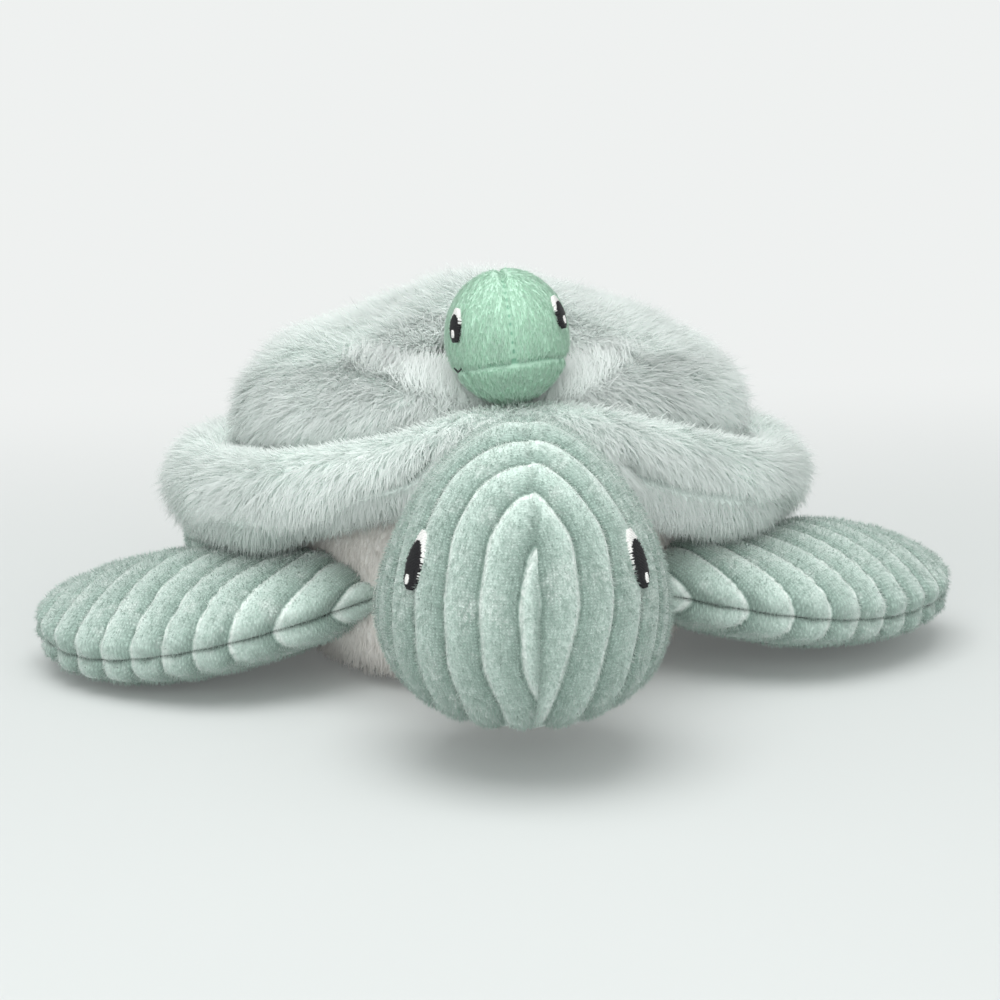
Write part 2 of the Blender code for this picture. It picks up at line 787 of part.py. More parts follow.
def build():
    clear_scene()
    materials = {
        "fur": make_material("fur", fur_colour, 0.95, 0.4),
        "cord": make_material("cord", cord_colour, 0.85, 0.5),
        "plush": make_material("plush", plush_colour, 0.95, 0.4),
        "mint": make_material("mint", mint_colour, 0.85, 0.5),
        "lining": make_material("lining", lining_colour, 0.8, 0.1),
        "stuffing": make_material("stuffing", stuffing_colour, 0.95, 0),
        "black": make_material("black_thread", black_colour, 0.45, 0),
        "white": make_material("white_thread", white_colour, 0.5, 0),
    }

    neck_cutter = as_cutter(ball("neck_cutter", None, neck_centre, neck_radius + socket_gap,
                                 neck_segments, neck_rings))
    make_belly(materials, neck_cutter)
    rim_cutter = make_rim(materials)[2]

    # The baby lies on the pocket's floor, so it sits lower than the pocket's middle
    slack = pocket_half_height - pocket_skin - seam_gap * 2 - baby_body_half_height
    baby_matrix = pocket_matrix() @ Matrix.Translation((0, 0, -slack))
    baby_head_centre = Vector((0, -baby_head_forward, baby_head_lift))
    baby_head = egg(baby_head_centre, baby_head_half_width, baby_head_front_depth,
                    baby_head_back_depth, baby_head_rise, baby_head_drop,
                    baby_head_power, baby_head_power)
    whole = steps(-quarter_turn, quarter_turn, baby_head_side_rows + baby_head_chin_rows)
    baby_around = steps(0, full_turn, baby_head_half_columns * 2)[:-1]
    baby_neck_place = Vector((0, -baby_neck_forward, 0))
    baby_rest = (Matrix.Rotation(baby_head_rest_turn, 4, "Z")
                 @ Matrix.Rotation(baby_head_rest_roll, 4, "Y"))
    baby_head_matrix = baby_matrix @ turned_about(baby_neck_place, baby_rest)
    mouth_cutter = as_cutter(solid("mouth_cutter", None, baby_head, whole, baby_around,
                                   -mouth_seat_gap, matrix=baby_head_matrix))
    make_shell(materials, rim_cutter, neck_cutter, mouth_cutter)

    neck_joint = make_joint("neck_turn_axis", neck_centre)
    nod_joint = make_joint("head_nod_axis", neck_centre, neck_joint)
    neck = ball("neck", materials["plush"], neck_centre, neck_radius, neck_segments, neck_rings)
    carry(neck, neck_joint)
    head = egg(head_centre, head_half_width, head_front_depth, head_back_depth, head_rise,
               head_drop, head_rise_power, head_drop_power)
    head_matrix = turned_about(neck_centre, Matrix.Rotation(head_rest_turn, 4, "Z"))
    head_pieces = make_head("", materials["cord"], materials["stuffing"], head,
                            head_chin_lift, head_side_rows, head_chin_rows,
                            head_half_columns, head_skin, head_matrix)
    for piece in head_pieces:
        cut(piece, neck_cutter)
    eyes = make_eyes("", materials, head, eye_turn, eye_height, pupil_drop, glint_drop,
                     (eye_half_width, eye_half_height), (pupil_half_width, pupil_half_height),
                     (glint_half_width, glint_half_height), thread_height, head_rise,
                     head_half_width, head_matrix)
    for piece in head_pieces + eyes:
        carry(piece, nod_joint)

    front_poses = {
        1: ((front_left_bend_x, front_left_bend_y, front_left_bend_height),
            (front_left_tip_x, front_left_tip_y, front_left_tip_height), front_left_bank),
        -1: ((front_right_bend_x, front_right_bend_y, front_right_bend_height),
             (front_right_tip_x, front_right_tip_y, front_right_tip_height), front_right_bank),
    }
    rear_bend = (rear_bend_x, rear_bend_y, rear_bend_height)
    rear_tip = (rear_tip_x, rear_tip_y, rear_tip_height)
    for side, word in ((1, "left"), (-1, "right")):
        front_bend, front_tip, front_bank = front_poses[side]
        points, outward = flipper_points(side, front_root_turn, front_root_height, front_lead,
                                         front_lead_drop, front_bend, front_tip)
        surface = flipper(points, front_half_chord, front_half_thickness,
                          front_root_half_thickness, flipper_floor_gap, front_bank * side)
        hinge = make_joint("front_flipper_" + word + "_axis",
                           points[0] + outward * front_root_half_thickness)
        for piece in make_flipper("front_flipper_" + word, materials, surface):
            carry(piece, hinge)
        points, outward = flipper_points(side, rear_root_turn, rear_root_height, rear_lead,
                                         rear_lead_drop, rear_bend, rear_tip)
        surface = flipper(points, rear_half_chord, rear_half_thickness,
                          rear_root_half_thickness, flipper_floor_gap)
        hinge = make_joint("rear_flipper_" + word + "_axis",
                           points[0] + outward * rear_root_half_thickness)
        for piece in make_flipper("rear_flipper_" + word, materials, surface):
            carry(piece, hinge)

    baby_joint = make_joint("baby_slide_axis", baby_matrix.to_translation())
    baby_neck_centre = baby_matrix @ baby_neck_place
    baby_neck_cutter = as_cutter(ball("baby_neck_cutter", None, baby_neck_centre,
                                      baby_neck_radius + socket_gap, baby_neck_segments,
                                      baby_neck_rings))
    baby_seat_cutter = as_cutter(ball("baby_seat_cutter", None, baby_neck_centre,
                                      baby_neck_radius + seam_gap * 2, baby_neck_segments,
                                      baby_neck_rings))
    for piece in make_baby_body(materials, baby_matrix, baby_seat_cutter):
        carry(piece, baby_joint)
    carry(ball("baby_neck", materials["mint"], baby_neck_centre, baby_neck_radius,
               baby_neck_segments, baby_neck_rings), baby_joint)
    baby_nod = make_joint("baby_head_nod_axis", baby_neck_centre, baby_joint)
    baby_pieces = make_head("baby_", materials["mint"], materials["stuffing"], baby_head,
                            baby_chin_lift, baby_head_side_rows, baby_head_chin_rows,
                            baby_head_half_columns, baby_head_skin, baby_head_matrix)
    for piece in baby_pieces:
        cut(piece, baby_neck_cutter)
    baby_pieces += make_eyes("baby_", materials, baby_head, baby_eye_turn, baby_eye_height,
                             baby_pupil_drop, baby_glint_drop,
                             (baby_eye_half_width, baby_eye_half_height),
                             (baby_pupil_half_width, baby_pupil_half_height),
                             (baby_glint_half_width, baby_glint_half_height),
                             baby_thread_height, baby_head_rise, baby_head_half_width,
                             baby_head_matrix)
    baby_pieces.append(stitched_patch("baby_mouth_stitch", materials["black"], baby_head,
                                      -math.asin(baby_mouth_drop / baby_head_drop),
                                      baby_mouth_turn, baby_mouth_half_height,
                                      baby_mouth_half_width, seam_gap, baby_thread_height,
                                      baby_head_drop, baby_head_half_width,
                                      glint_columns, glint_ring_count, baby_head_matrix))
    for piece in baby_pieces:
        carry(piece, baby_nod)
    baby_flippers = (
        ("front", baby_front_root_share, (baby_front_bend_reach, baby_front_bend_sweep, 0),
         (baby_front_tip_reach, baby_front_tip_sweep, 0)),
        ("rear", baby_rear_root_share, (baby_rear_bend_reach, baby_rear_bend_sweep, 0),
         (baby_rear_tip_reach, baby_rear_tip_sweep, 0)),
    )
    rows = [0.5 - 0.5 * math.cos(value) for value in steps(0, half_turn, baby_flipper_rows)]
    rows[0] = flipper_root_row_share
    around = steps(0, full_turn, baby_flipper_half_columns * 2)[:-1]
    for side, word in ((1, "left"), (-1, "right")):
        for end, root_share, bend, tip in baby_flippers:
            points, outward = baby_flipper_points(side, root_share, bend, tip)
            surface = flipper(points, baby_flipper_half_chord, baby_flipper_half_thickness,
                              baby_flipper_root_half_thickness, None)
            name = "baby_" + end + "_flipper_" + word
            piece = solid(name, materials["mint"], surface, rows, around, 0,
                          first_pole=False, matrix=baby_matrix)
            hinge_place = points[0] + outward * baby_flipper_root_half_thickness
            carry(piece, make_joint(name + "_axis", baby_matrix @ hinge_place, baby_joint))


build()
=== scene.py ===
import math

import bpy
import numpy as np
from mathutils import Matrix, Vector
from mathutils.kdtree import KDTree


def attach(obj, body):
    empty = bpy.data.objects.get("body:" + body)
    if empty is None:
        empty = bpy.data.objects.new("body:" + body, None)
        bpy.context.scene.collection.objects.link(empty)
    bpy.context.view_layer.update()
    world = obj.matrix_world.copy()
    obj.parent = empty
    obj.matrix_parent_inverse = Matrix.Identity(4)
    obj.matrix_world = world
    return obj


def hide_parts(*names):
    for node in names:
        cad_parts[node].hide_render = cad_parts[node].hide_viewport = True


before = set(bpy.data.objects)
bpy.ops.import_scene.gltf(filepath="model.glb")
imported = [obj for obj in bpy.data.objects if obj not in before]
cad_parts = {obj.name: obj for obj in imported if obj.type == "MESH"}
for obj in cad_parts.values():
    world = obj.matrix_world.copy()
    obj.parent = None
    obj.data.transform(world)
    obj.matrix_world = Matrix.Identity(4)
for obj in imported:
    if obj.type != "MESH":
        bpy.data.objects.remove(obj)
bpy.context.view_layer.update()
print("turtle frame loaded")

studio = {
    "aim": (0.0023, -0.0205, 0.060),
    "distance": 0.900,
    "azimuth": -7.5,
    "elevation": 14.0,
    "lens": 86.0,
    "worldLevel": 0.74,
    "worldColour": (0.985, 1.0, 0.995),
    "backdrop": (0.862, 0.880, 0.872),
    "shadowGlow": 0.08,
    "table": (0.590, 0.614, 0.607),
    "fadeBehind": (0.04, 0.50),
    "fadeRound": (0.50, 1.30),
    "lampAim": (0, 0, 0.05),
    "lamps": {"softWindow": {"place": (-0.20, -0.45, 1.50), "size": 1.3, "power": 18.0},
              "lowFill": {"place": (-0.25, -1.5, 0.30), "size": 1.4, "power": 10.0}},
    "sweepFront": -5.0,
    "sweepBend": 1.6,
    "sweepRadius": 1.2,
    "sweepTop": 5.0,
}

quarterTurn = math.pi / 2
mm = 0.001
down = np.array((0, 0, -1.0))
up = np.array((0, 0, 1.0))
sides = ((1, "left"), (-1, "right"))


# Numbers shared by the soft shapes

def unit(ways):
    return ways / np.maximum(np.linalg.norm(ways, axis=-1, keepdims=True), 1e-9)


def superellipse(angle, power):
    cosine = np.cos(angle)
    sine = np.sin(angle)
    return (np.sign(cosine) * np.abs(cosine) ** (2 / power),
            np.sign(sine) * np.abs(sine) ** (2 / power))


def smoothStep(share):
    share = np.clip(share, 0, 1)
    return share * share * (3 - 2 * share)


def bell(away, width, power=2):
    # 1 in the middle, and nearly 0 past twice the width
    return np.exp(-(away / width) ** power)


noise = {"primes": (73856093, 19349663, 83492791), "factor": 1103515245, "shift": 12345,
         "seedStep": 977, "mix": 2654435, "most": 0x7FFFFFFF}


def softNoise(points, scale, seed):
    # smooth random lumps from -1 to 1
    place = points / scale + 31.7 + seed * 7.13
    cell = np.floor(place).astype(np.int64)
    share = smoothStep(place - cell)
    total = np.zeros(points.shape[:-1])
    for corner in range(8):
        step = np.array([(corner >> axis) & 1 for axis in range(3)])
        mixed = np.bitwise_xor.reduce((cell + step) * noise["primes"], axis=-1)
        mixed = mixed * noise["factor"] + noise["shift"] + seed * noise["seedStep"]
        mixed = mixed & noise["most"]
        mixed = (mixed ^ (mixed >> 15)) * noise["mix"] & noise["most"]
        weight = np.prod(np.where(step == 1, share, 1 - share), axis=-1)
        total += weight * (mixed / (noise["most"] // 2) - 1)
    return total


def turned(points, matrix):
    grid = np.array(matrix)
    return np.asarray(points) @ grid[:3, :3].T + grid[:3, 3]


def aboutPlace(place, rotation):
    place = Vector(place)
    return Matrix.Translation(place) @ rotation @ Matrix.Translation(-place)


def degreesTurn(degrees, axis):
    return Matrix.Rotation(math.radians(degrees), 4, axis)


# Meshes from grids of points

def ring(count):
    return np.linspace(0, 2 * math.pi, count + 1)[:-1]


def gridOf(rows, columns):
    return np.meshgrid(rows, columns, indexing="ij")


def makeMesh(name, points, quads, quadUv, material, values=None, normals=None):
    # a quad that names a point twice in a row is a triangle
    flat = quads.reshape(-1, 4)
    flatUv = quadUv.reshape(-1, 4, 2)
    firstTip = flat[:, 0] == flat[:, 1]
    lastTip = flat[:, 2] == flat[:, 3]
    whole = ~(firstTip | lastTip)
    fans = np.concatenate([flat[firstTip][:, [0, 2, 3]], flat[lastTip][:, [0, 1, 2]]])
    fanUv = np.concatenate([flatUv[firstTip][:, [0, 2, 3]], flatUv[lastTip][:, [0, 1, 2]]])
    corners = np.concatenate([flat[whole].ravel(), fans.ravel()])
    cornerUv = np.concatenate([flatUv[whole].reshape(-1, 2), fanUv.reshape(-1, 2)])
    sizes = np.concatenate([np.full(int(whole.sum()), 4), np.full(len(fans), 3)])
    used, corners = np.unique(corners, return_inverse=True)
    starts = np.concatenate([[0], np.cumsum(sizes)[:-1]])
    mesh = bpy.data.meshes.new(name)
    mesh.vertices.add(len(used))
    mesh.vertices.foreach_set("co", points.reshape(-1, 3)[used].ravel())
    mesh.loops.add(len(corners))
    mesh.loops.foreach_set("vertex_index", corners.ravel().astype(np.int32))
    mesh.polygons.add(len(sizes))
    mesh.polygons.foreach_set("loop_start", starts.astype(np.int32))
    mesh.polygons.foreach_set("use_smooth", np.ones(len(sizes), dtype=bool))
    mesh.update(calc_edges=True)
    layer = mesh.uv_layers.new(name="OFBake")
    layer.data.foreach_set("uv", (0.004 + 0.992 * cornerUv).ravel())
    for key, value in (values or {}).items():
        attribute = mesh.attributes.new(key, "FLOAT", "POINT")
        attribute.data.foreach_set("value", value.ravel()[used].astype(np.float32))
    if normals is not None:
        mesh.normals_split_custom_set_from_vertices(normals.reshape(-1, 3)[used].tolist())
    mesh.materials.append(material)
    piece = bpy.data.objects.new(name, mesh)
    bpy.context.scene.collection.objects.link(piece)
    return piece


def gridQuads(rows, columns, closed=False, firstPole=False, lastPole=False):
    index = np.arange(rows * columns).reshape(rows, columns)
    if firstPole:
        index[0] = index[0, 0]
    if lastPole:
        index[-1] = index[-1, 0]
    after = np.roll(index, -1, axis=1)
    spans = columns if closed else columns - 1
    quads = np.stack([index[:-1], after[:-1], after[1:], index[1:]], axis=-1)[:, :spans]
    across, along = np.meshgrid(np.arange(spans) / spans, np.arange(rows - 1) / (rows - 1))
    uv = np.stack([np.stack([across + wide / spans, along + tall / (rows - 1)], -1)
                   for wide, tall in ((0, 0), (1, 0), (1, 1), (0, 1))], axis=-2)
    return quads, uv


def gridNormals(points, closed, centre):
    # the way out from the centre, and whether the grid's own order points inward
    along = np.gradient(points, axis=0)
    if closed:
        across = np.roll(points, -1, axis=1) - np.roll(points, 1, axis=1)
    else:
        across = np.gradient(points, axis=1)
    normals = np.cross(across, along)
    size = np.linalg.norm(normals, axis=-1)
    for row, near in ((0, 1), (-1, -2)):
        if size[row].max() < size[near].max() * 0.02:
            normals[row] = normals[near].mean(axis=0)
    normals = unit(normals)
    if np.mean(np.sum(normals * (points - np.array(centre)), axis=-1)) < 0:
        return -normals, True
    return normals, False


def raised(points, height, closed, centre):
    return points + gridNormals(points, closed, centre)[0] * height[..., None]


def gridPiece(name, points, material, centre, matrix=None, closed=False, firstPole=False,
              lastPole=False, values=None, keep=None):
    if matrix is not None:
        points = turned(points, matrix)
        centre = turned(centre, matrix)
    flipped = gridNormals(points, closed, centre)[1]
    quads, uv = gridQuads(*points.shape[:2], closed, firstPole, lastPole)
    if flipped:
        quads = quads[..., [1, 0, 3, 2]]
        uv = uv[..., [1, 0, 3, 2], :]
    if keep is not None:
        kept = keep(points.reshape(-1, 3)[quads].mean(axis=-2))
        quads = quads[kept]
        uv = uv[kept]
    return makeMesh(name, points, quads, uv, material, values)


def rowLengths(points, axis):
    # distance along the grid from its first row or column
    pieces = np.linalg.norm(np.diff(points, axis=axis), axis=-1)
    total = np.cumsum(pieces, axis=axis)
    first = np.zeros_like(np.take(total, [0], axis=axis))
    return np.concatenate([first, total], axis=axis)


def ownedBy(piece, body, slot, *nodes, fill=None):
    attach(piece, body)
    if nodes:
        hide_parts(*nodes)
    return piece


# Pile: each strand is a thin tapering blade that lies along the cloth

strandLook = {
    "lengthSpread": 0.18,
    "lengthLimits": (0.5, 1.35),
    "patchLength": 0.16,
    "patchLift": 0.12,
    "twist": 0.12,
    "taper": 0.55,
    "taperPower": 1.5,
    "widthLimits": (0.75, 1.25),
    "toneSpread": 0.30,
    "clumpPower": 1.4,
    "leastPull": 0.65,
}


def scatterRoots(points, closed, count, random, centre, keep=None, values=(), normals=None):
    if normals is None:
        normals = gridNormals(points, closed, centre)[0]
    quads = gridQuads(*points.shape[:2], closed)[0].reshape(-1, 4)
    corners = points.reshape(-1, 3)[quads]
    if keep is not None:
        chosen = keep(corners.mean(axis=1))
        quads = quads[chosen]
        corners = corners[chosen]
    area = np.linalg.norm(np.cross(corners[:, 2] - corners[:, 0],
                                   corners[:, 3] - corners[:, 1]), axis=-1)
    pick = random.choice(len(quads), size=count, p=area / area.sum())
    first = random.random((count, 1))
    second = random.random((count, 1))
    weights = np.stack([(1 - first) * (1 - second), first * (1 - second),
                        first * second, (1 - first) * second], axis=1)
    roots = (corners[pick] * weights).sum(axis=1)
    ways = unit((normals.reshape(-1, 3)[quads[pick]] * weights).sum(axis=1))
    found = [(value.reshape(-1)[quads[pick]] * weights[..., 0]).sum(axis=1) for value in values]
    return (roots, ways, *found)


def joinParts(parts):
    return [np.concatenate(kind) for kind in zip(*parts)]


def placedRoots(roots, ways, matrix):
    placed = turned(roots, matrix)
    return placed, unit(turned(roots + ways, matrix) - placed)


def gatherClumps(path, roots, look, random):
    # the tips of neighbouring strands lean together
    count, rows = path.shape[:2]
    leaders = random.permutation(count)[:max(int(count * look["clumpShare"]), 8)]
    tree = KDTree(len(leaders))
    for place, leader in enumerate(leaders):
        tree.insert(roots[leader], place)
    tree.balance()
    nearest = leaders[[tree.find(root)[1] for root in roots]]
    share = (np.arange(rows) / (rows - 1)) ** strandLook["clumpPower"]
    least = strandLook["leastPull"]
    pull = look["clump"] * (least + (1 - least) * random.random(count))
    change = path[nearest] - path
    reach = np.linalg.norm(change[:, -1], axis=-1)
    pull = pull * np.clip(look["clumpReach"] / np.maximum(reach, 1e-6), 0, 1)
    return path + change * share[None, :, None] * pull[:, None, None]


def woven(left, right, tip):
    # two edges as one row of points that ends in a tip
    pairs = np.stack([left[:, :-1], right[:, :-1]], axis=2)
    pairs = pairs.reshape(len(left), -1, *left.shape[2:])
    return np.concatenate([pairs, tip[:, None]], axis=1)


def strandQuads(count, segments):
    size = segments * 2 + 1
    low = (np.arange(count) * size)[:, None]
    steps = [(0, 1, 3, 2)] * (segments - 1) + [(0, 1, 2, 2)]
    quads = [np.concatenate([low + index * 2 + step for step in steps[index]], axis=1)
             for index in range(segments)]
    # each strand has its own cell of the UV map
    cells = int(math.ceil(math.sqrt(count)))
    cell = 1 / cells
    cellX = (np.arange(count) % cells) / cells
    cellY = (np.arange(count) // cells) / cells
    boxes = []
    for index in range(segments):
        base = 0.06 + 0.88 * index / segments
        top = 0.06 + 0.88 * (index + 1) / segments
        box = [(0.15, base), (0.85, base), (0.85, top), (0.15, top)]
        if index == segments - 1:
            box[2] = box[3] = (0.5, top)
        boxes.append(np.stack([np.stack([cellX + cell * x, cellY + cell * y], -1)
                               for x, y in box], axis=1))
    return np.concatenate(quads), np.concatenate(boxes)


def growPile(name, roots, normals, flow, look, material, seed, avoid=(), tones=None,
             lengths=1.0):
    random = np.random.default_rng(seed)
    count = len(roots)
    segments = look["segments"]
    flow = unit(flow - normals * np.sum(flow * normals, axis=-1, keepdims=True))
    aside = np.cross(normals, flow)
    swirl = (softNoise(roots, look["swirlScale"], seed) * look["swirl"]
             + random.normal(0, look["stray"], count))[:, None]
    flow = flow * np.cos(swirl) + aside * np.sin(swirl)
    lift = (look["lift"] + random.normal(0, look["liftSpread"], count)
            + strandLook["patchLift"] * softNoise(roots, look["swirlScale"] * 0.7,
                                                  seed + 5))[:, None]
    way = unit(normals * np.sin(lift) + flow * np.cos(lift))
    length = look["length"] * np.clip(1 + random.normal(0, strandLook["lengthSpread"], count),
                                      *strandLook["lengthLimits"])
    length *= 1 + strandLook["patchLength"] * softNoise(roots, look["swirlScale"] * 0.5,
                                                       seed + 9)
    step = (length * lengths / segments)[:, None]
    path = [roots]
    for _ in range(segments):
        way = unit(way + np.array((0, 0, -look["droop"])) + flow * look["lay"]
                   - normals * look["press"]
                   + random.normal(0, look["crimp"], (count, 3)))
        path.append(path[-1] + way * step)
    path = np.stack(path, axis=1)
    if look["clump"] > 0:
        path = gatherClumps(path, roots, look, random)
    for push in avoid:
        path[:, 1:] = push(path[:, 1:])
    toward = unit(np.gradient(path, axis=1))
    side = unit(np.cross(toward, normals[:, None, :])
                + random.normal(0, strandLook["twist"], (count, 1, 3)))
    share = np.arange(segments + 1) / segments
    thin, thick = strandLook["widthLimits"]
    width = look["width"] * (thin + (thick - thin) * random.random(count))[:, None]
    taper = 1 - strandLook["taper"] * share ** strandLook["taperPower"]
    width = (width * taper[None, :])[..., None]
    points = woven(path - side * width / 2, path + side * width / 2, path[:, -1])
    facing = unit(np.cross(side, toward))
    facing *= np.sign(np.sum(facing * normals[:, None, :], axis=-1, keepdims=True) + 1e-9)
    soft = unit(facing * (1 - look["softNormal"]) + normals[:, None, :] * look["softNormal"])
    place = np.tile(share, (count, 1))
    own = random.random(count)
    if tones is not None:
        own = np.clip(tones + strandLook["toneSpread"] * (own - 0.5), 0, 1)
    tone = np.repeat(own[:, None], segments * 2 + 1, axis=1)
    return makeMesh(name, points, *strandQuads(count, segments), material,
                    {"strandPlace": woven(place, place, place[:, -1]), "strandTone": tone},
                    woven(soft, soft, soft[:, -1]))


# Materials

def setInputs(tree, node, inputs):
    # each input is a value or a link from another node
    for key, value in inputs.items():
        if isinstance(value, bpy.types.NodeSocket):
            tree.links.new(value, node.inputs[key])
        else:
            node.inputs[key].default_value = value


def addNode(tree, kind, inputs, **settings):
    node = tree.nodes.new("ShaderNode" + kind)
    for key, value in settings.items():
        setattr(node, key, value)
    setInputs(tree, node, inputs)
    return node


def startMaterial(name, colour, roughness, sheen, sheenTint, sheenRoughness=0.5):
    material = bpy.data.materials.new(name)
    material.use_nodes = True
    material.diffuse_color = (*colour, 1)
    tree = material.node_tree
    shader = tree.nodes["Principled BSDF"]
    setInputs(tree, shader, {
        "Base Color": (*colour, 1), "Roughness": roughness, "Specular IOR Level": 0.25,
        "Sheen Weight": sheen, "Sheen Roughness": sheenRoughness, "Sheen Tint": (*sheenTint, 1)})
    return material, tree, shader


def noiseNode(tree, scale, detail=2.0, roughness=0.5, stretch=None):
    place = addNode(tree, "TexCoord", {}).outputs["Object"]
    if stretch is not None:
        place = addNode(tree, "Mapping", {"Scale": stretch, "Vector": place}).outputs["Vector"]
    return addNode(tree, "TexNoise", {"Scale": scale, "Detail": detail, "Roughness": roughness,
                                      "Vector": place}).outputs["Fac"]


def rampNode(tree, source, stops):
    ramp = addNode(tree, "ValToRGB", {"Fac": source})
    ramp.color_ramp.interpolation = "EASE"
    elements = ramp.color_ramp.elements
    while len(elements) < len(stops):
        elements.new(0.5)
    for element, (place, colour) in zip(elements, stops):
        element.position = place
        element.color = (*colour, 1)
    return ramp.outputs["Color"]


def attributeNode(tree, name):
    return addNode(tree, "Attribute", {}, attribute_name=name).outputs["Fac"]


def rangeNode(tree, inputs, interpolation="LINEAR"):
    return addNode(tree, "MapRange", inputs, interpolation_type=interpolation).outputs["Result"]


def shadeNode(tree, colour, amount, low, high):
    # multiplies a colour by a grey from low to high
    grey = rangeNode(tree, {"To Min": low, "To Max": high, "Value": amount})
    return addNode(tree, "VectorMath", {0: colour, "Scale": grey},
                   operation="SCALE").outputs["Vector"]


def mathNode(tree, operation, first, second=0.0):
    return addNode(tree, "Math", {0: first, 1: second}, operation=operation).outputs["Value"]


def waveNode(tree, attribute, density):
    # a soft wave along a measured length of the cloth, from 0 to 1
    phase = mathNode(tree, "MULTIPLY", attributeNode(tree, attribute), 2 * math.pi * density)
    wander = mathNode(tree, "MULTIPLY", noiseNode(tree, 240, 2.0, 0.6), 7.0)
    wave = mathNode(tree, "SINE", mathNode(tree, "ADD", phase, wander))
    half = mathNode(tree, "MULTIPLY", wave, 0.5)
    return mathNode(tree, "ADD", half, 0.5)


def bumpNode(tree, shader, source, strength, distance, **below):
    bump = addNode(tree, "Bump", {"Strength": strength, "Distance": distance,
                                  "Height": source, **below})
    tree.links.new(bump.outputs["Normal"], shader.inputs["Normal"])
    return bump.outputs["Normal"]


def mixSurface(tree, share, first, second, output="Material Output"):
    blend = addNode(tree, "MixShader", {0: share, 1: first.outputs[0], 2: second.outputs[0]})
    tree.links.new(blend.outputs[0], tree.nodes[output].inputs["Surface"])


def letThrough(tree, shader, colour):
    # light also passes through the thin strands
    tree.links.new(colour, shader.inputs["Base Color"])
    mixSurface(tree, 0.45, shader, addNode(tree, "BsdfTranslucent", {"Color": colour}))


# the rib colours run from painted shade in the groove, through the crown, to a painted highlight
# at the pale edge; that pale colour also makes random brushed patches
cordLook = {
    "crown": (0.462, 0.558, 0.514),
    "middle": (0.392, 0.490, 0.445),
    "shaded": (0.310, 0.408, 0.364),
    "grooveShade": (0.265, 0.358, 0.316),
    "brushedAndHighlight": (0.618, 0.676, 0.644),
    "rowPitch": 0.00108,
    "wales": 11.0,
    "patchScale": 85,
    "patchEnds": (0.50, 0.72),
    "patchShare": 0.45,
    "strokeScale": 300,
    "fineScale": 1500,
    "bump": 0.0005,
    "ribStops": (0.0, 0.10, 0.45, 0.80, 0.94, 1.0),
    "napStops": (0.0, 0.12, 0.50, 0.85, 1.0),
    "valley": 0.80,
    "strokeShade": (0.86, 1.14),
    "knitShade": (0.70, 1.10),
    "fineShade": (0.78, 1.22),
    "foldShade": (1.0, 0.42),
    "toneShade": (0.72, 1.32),
}
white = (1.0, 1.0, 1.0)


def cordRamp(tree, source, places):
    colours = [cordLook[key] for key in ("grooveShade", "shaded", "middle", "crown", "brushedAndHighlight",
                                         "grooveShade")]
    return rampNode(tree, source, list(zip(places, colours)))


def makeCord():
    material, tree, shader = startMaterial("sageRibbedVelour", cordLook["middle"], 0.85, 0.85,
                                           white, 0.36)
    # painted shade on the inner side of each rib and in its groove, and a painted highlight on
    # its outer edge
    share = mathNode(tree, "FRACT", attributeNode(tree, "ribShare"))
    ribs = cordRamp(tree, share, cordLook["ribStops"])
    first, last = cordLook["patchEnds"]
    patch = rangeNode(tree, {"From Min": first, "From Max": last,
                             "To Max": cordLook["patchShare"],
                             "Value": noiseNode(tree, cordLook["patchScale"], 3.0, 0.66)},
                      "SMOOTHSTEP")
    # in a colour mix, 0 is the share and 6 and 7 are the colours
    brushedAndHighlight = addNode(tree, "Mix", {0: patch, 6: ribs, 7: (*cordLook["brushedAndHighlight"], 1)},
                      data_type="RGBA")
    strokes = shadeNode(tree, brushedAndHighlight.outputs[2],
                        noiseNode(tree, cordLook["strokeScale"], 3.0, 0.65),
                        *cordLook["strokeShade"])
    rows = waveNode(tree, "ribAlong", 1 / cordLook["rowPitch"])
    wales = waveNode(tree, "ribShare", cordLook["wales"])
    knit = mathNode(tree, "MULTIPLY", rows, wales)
    faint = mathNode(tree, "MULTIPLY", share, cordLook["valley"])
    hidden = mathNode(tree, "SUBTRACT", mathNode(tree, "ADD", knit, faint),
                      mathNode(tree, "MULTIPLY", knit, faint))
    fine = noiseNode(tree, cordLook["fineScale"], 3.0, 0.7)
    # the knit's dots darken the inner side of each rib and fade out towards its outer edge: real
    # dots with painted shade
    colour = shadeNode(tree, strokes, hidden, *cordLook["knitShade"])
    colour = shadeNode(tree, colour, fine, *cordLook["fineShade"])
    colour = shadeNode(tree, colour, attributeNode(tree, "foldPlace"), *cordLook["foldShade"])
    colour = shadeNode(tree, colour, attributeNode(tree, "tone"), *cordLook["toneShade"])
    tree.links.new(colour, shader.inputs["Base Color"])
    pile = bumpNode(tree, shader, hidden, 0.50, cordLook["bump"])
    bumpNode(tree, shader, fine, 0.45, cordLook["bump"], Normal=pile)
    return material


def makeCordNap():
    # the short upright pile of the velour, seen where it catches the light; its colour carries
    # the painted shade and highlight of the ribs, and its tips are lighter
    material, tree, shader = startMaterial("sageVelourNap", cordLook["crown"], 0.85, 0.5,
                                           white, 0.4)
    place = cordRamp(tree, attributeNode(tree, "strandTone"), cordLook["napStops"])
    lighter = shadeNode(tree, place, attributeNode(tree, "strandPlace"), 1.10, 1.40)
    strokes = noiseNode(tree, cordLook["strokeScale"], 3.0, 0.65)
    letThrough(tree, shader, shadeNode(tree, lighter, strokes, 0.88, 1.12))
    return material


